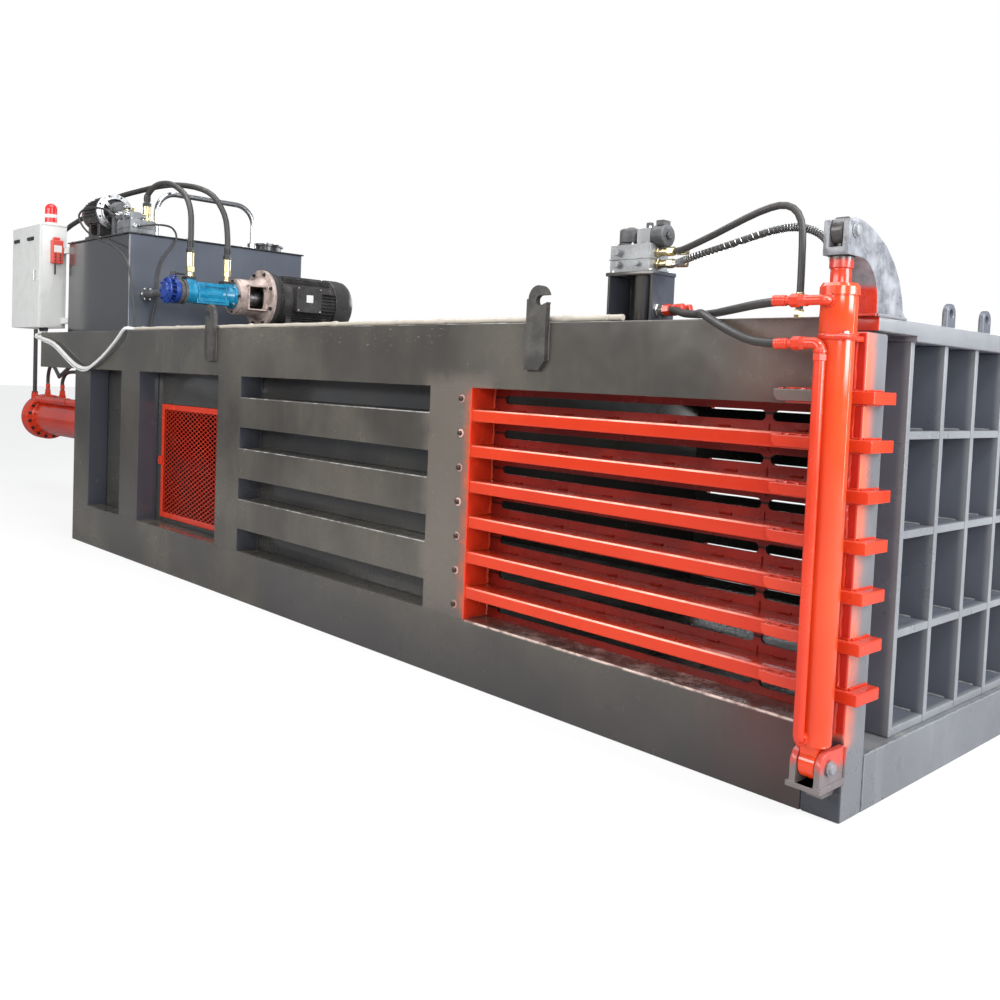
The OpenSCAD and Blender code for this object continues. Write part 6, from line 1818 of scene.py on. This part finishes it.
# the other CAD nodes, with broken edges
plain = {
    "frame_paint": ["side_skins", "floor_frame", "roof_plates", "rear_frame", "tank_deck", "ram_head", "motor_base"],
    "rod_chrome": ["main_rod"],
}
for paint, nodes in plain.items():
    for node in nodes:
        rounded(node, paint)
print("nodes dressed")


# floor and light
def makeFloor():
    mesh = bpy.data.meshes.new("studioFloor")
    mesh.from_pydata([(-60, -60, -0.001), (60, -60, -0.001), (60, 60, -0.001), (-60, 60, -0.001)], [], [(0, 1, 2, 3)])
    floor = bpy.data.objects.new("studioFloor", mesh)
    scene.collection.objects.link(floor)
    g = Graph("studioFloor")
    rays = g.node("ShaderNodeLightPath").outputs
    glow = g.node("ShaderNodeEmission").outputs[0]
    blend = g.node("ShaderNodeMixShader")
    g.give(colour=g.mix(rays["Is Glossy Ray"], (0.78, 0.78, 0.78), (0.20, 0.20, 0.21)), rough=0.9)
    for socket, value in zip(blend.inputs, (g.times(rays["Is Camera Ray"], 0.8), g.shader.outputs[0], glow)):
        g.feed(socket, value)
    g.feed(g.tree.nodes["Material Output"].inputs["Surface"], blend.outputs[0])
    mesh.materials.append(g.material)


def softBox(name, place, aim, size, power, tint=(1, 1, 1)):
    data = bpy.data.lights.new(name, "AREA")
    data.shape, data.size, data.size_y = "RECTANGLE", *size
    data.energy, data.color = power, tint
    lamp = bpy.data.objects.new(name, data)
    scene.collection.objects.link(lamp)
    lamp.location = place
    lamp.rotation_mode = "QUATERNION"
    lamp.rotation_quaternion = (Vector(aim) - Vector(place)).to_track_quat("-Z", "Y")


def makeSky():
    world = bpy.data.worlds.new("studio")
    scene.world = world
    world.use_nodes = True
    tree = world.node_tree
    rays = tree.nodes.new("ShaderNodeLightPath").outputs
    white, room = tree.nodes.new("ShaderNodeBackground"), tree.nodes["Background"]
    white.inputs["Color"].default_value = (1, 1, 1, 1)
    room.inputs["Color"].default_value = (0.86, 0.92, 1.0, 1)
    # the room looks dimmer in the glossy paint
    dim = tree.nodes.new("ShaderNodeMapRange")
    dim.inputs["To Min"].default_value, dim.inputs["To Max"].default_value = 0.45, 0.30
    either = tree.nodes.new("ShaderNodeMath")
    either.operation = "MAXIMUM"
    blend = tree.nodes.new("ShaderNodeMixShader")
    for source, socket in ((rays["Is Glossy Ray"], dim.inputs["Value"]), (dim.outputs[0], room.inputs["Strength"]),
                           (rays["Is Camera Ray"], either.inputs[0]), (rays["Is Transmission Ray"], either.inputs[1]),
                           (either.outputs[0], blend.inputs[0]), (room.outputs[0], blend.inputs[1]),
                           (white.outputs[0], blend.inputs[2]),
                           (blend.outputs[0], tree.nodes["World Output"].inputs["Surface"])):
        tree.links.new(source, socket)


makeFloor()
makeSky()
softBox("gateWindow", (8.5, 0.5, 3.4), (3.4, 0.0, 0.9), (3.5, 4.5), 620, (0.92, 0.96, 1.0))
softBox("sideWindow", (-1.0, -9.0, 4.2), (0.0, 0.0, 0.6), (9.0, 2.6), 560, (1.0, 0.98, 0.95))
softBox("frontWindow", (8.0, -5.5, 3.0), (2.4, -0.9, 0.8), (2.6, 2.0), 180, (1.0, 0.97, 0.93))
softBox("deckWindow", (5.5, -1.6, 5.2), (-4.2, -0.9, 2.2), (3.0, 1.4), 220)
# narrow lamps that draw the lines on rounded edges and on the upright pipes
softBox("tubeLamp", (-3.2, -1.8, 6.5), (-1.0, -1.2, 1.0), (6.6, 0.10), 70)
softBox("doorGap", (6.9, 2.4, 1.2), (3.4, -1.1, 1.0), (0.16, 2.2), 16)
softBox("roofLights", (-0.5, -1.0, 7.0), (-0.5, 0.0, 0.0), (9.0, 4.0), 420)
softBox("backWindow", (-2.0, 9.0, 4.0), (0.0, 0.0, 1.0), (9.0, 3.0), 380, (0.95, 0.97, 1.0))

scene.view_settings.view_transform = "Standard"
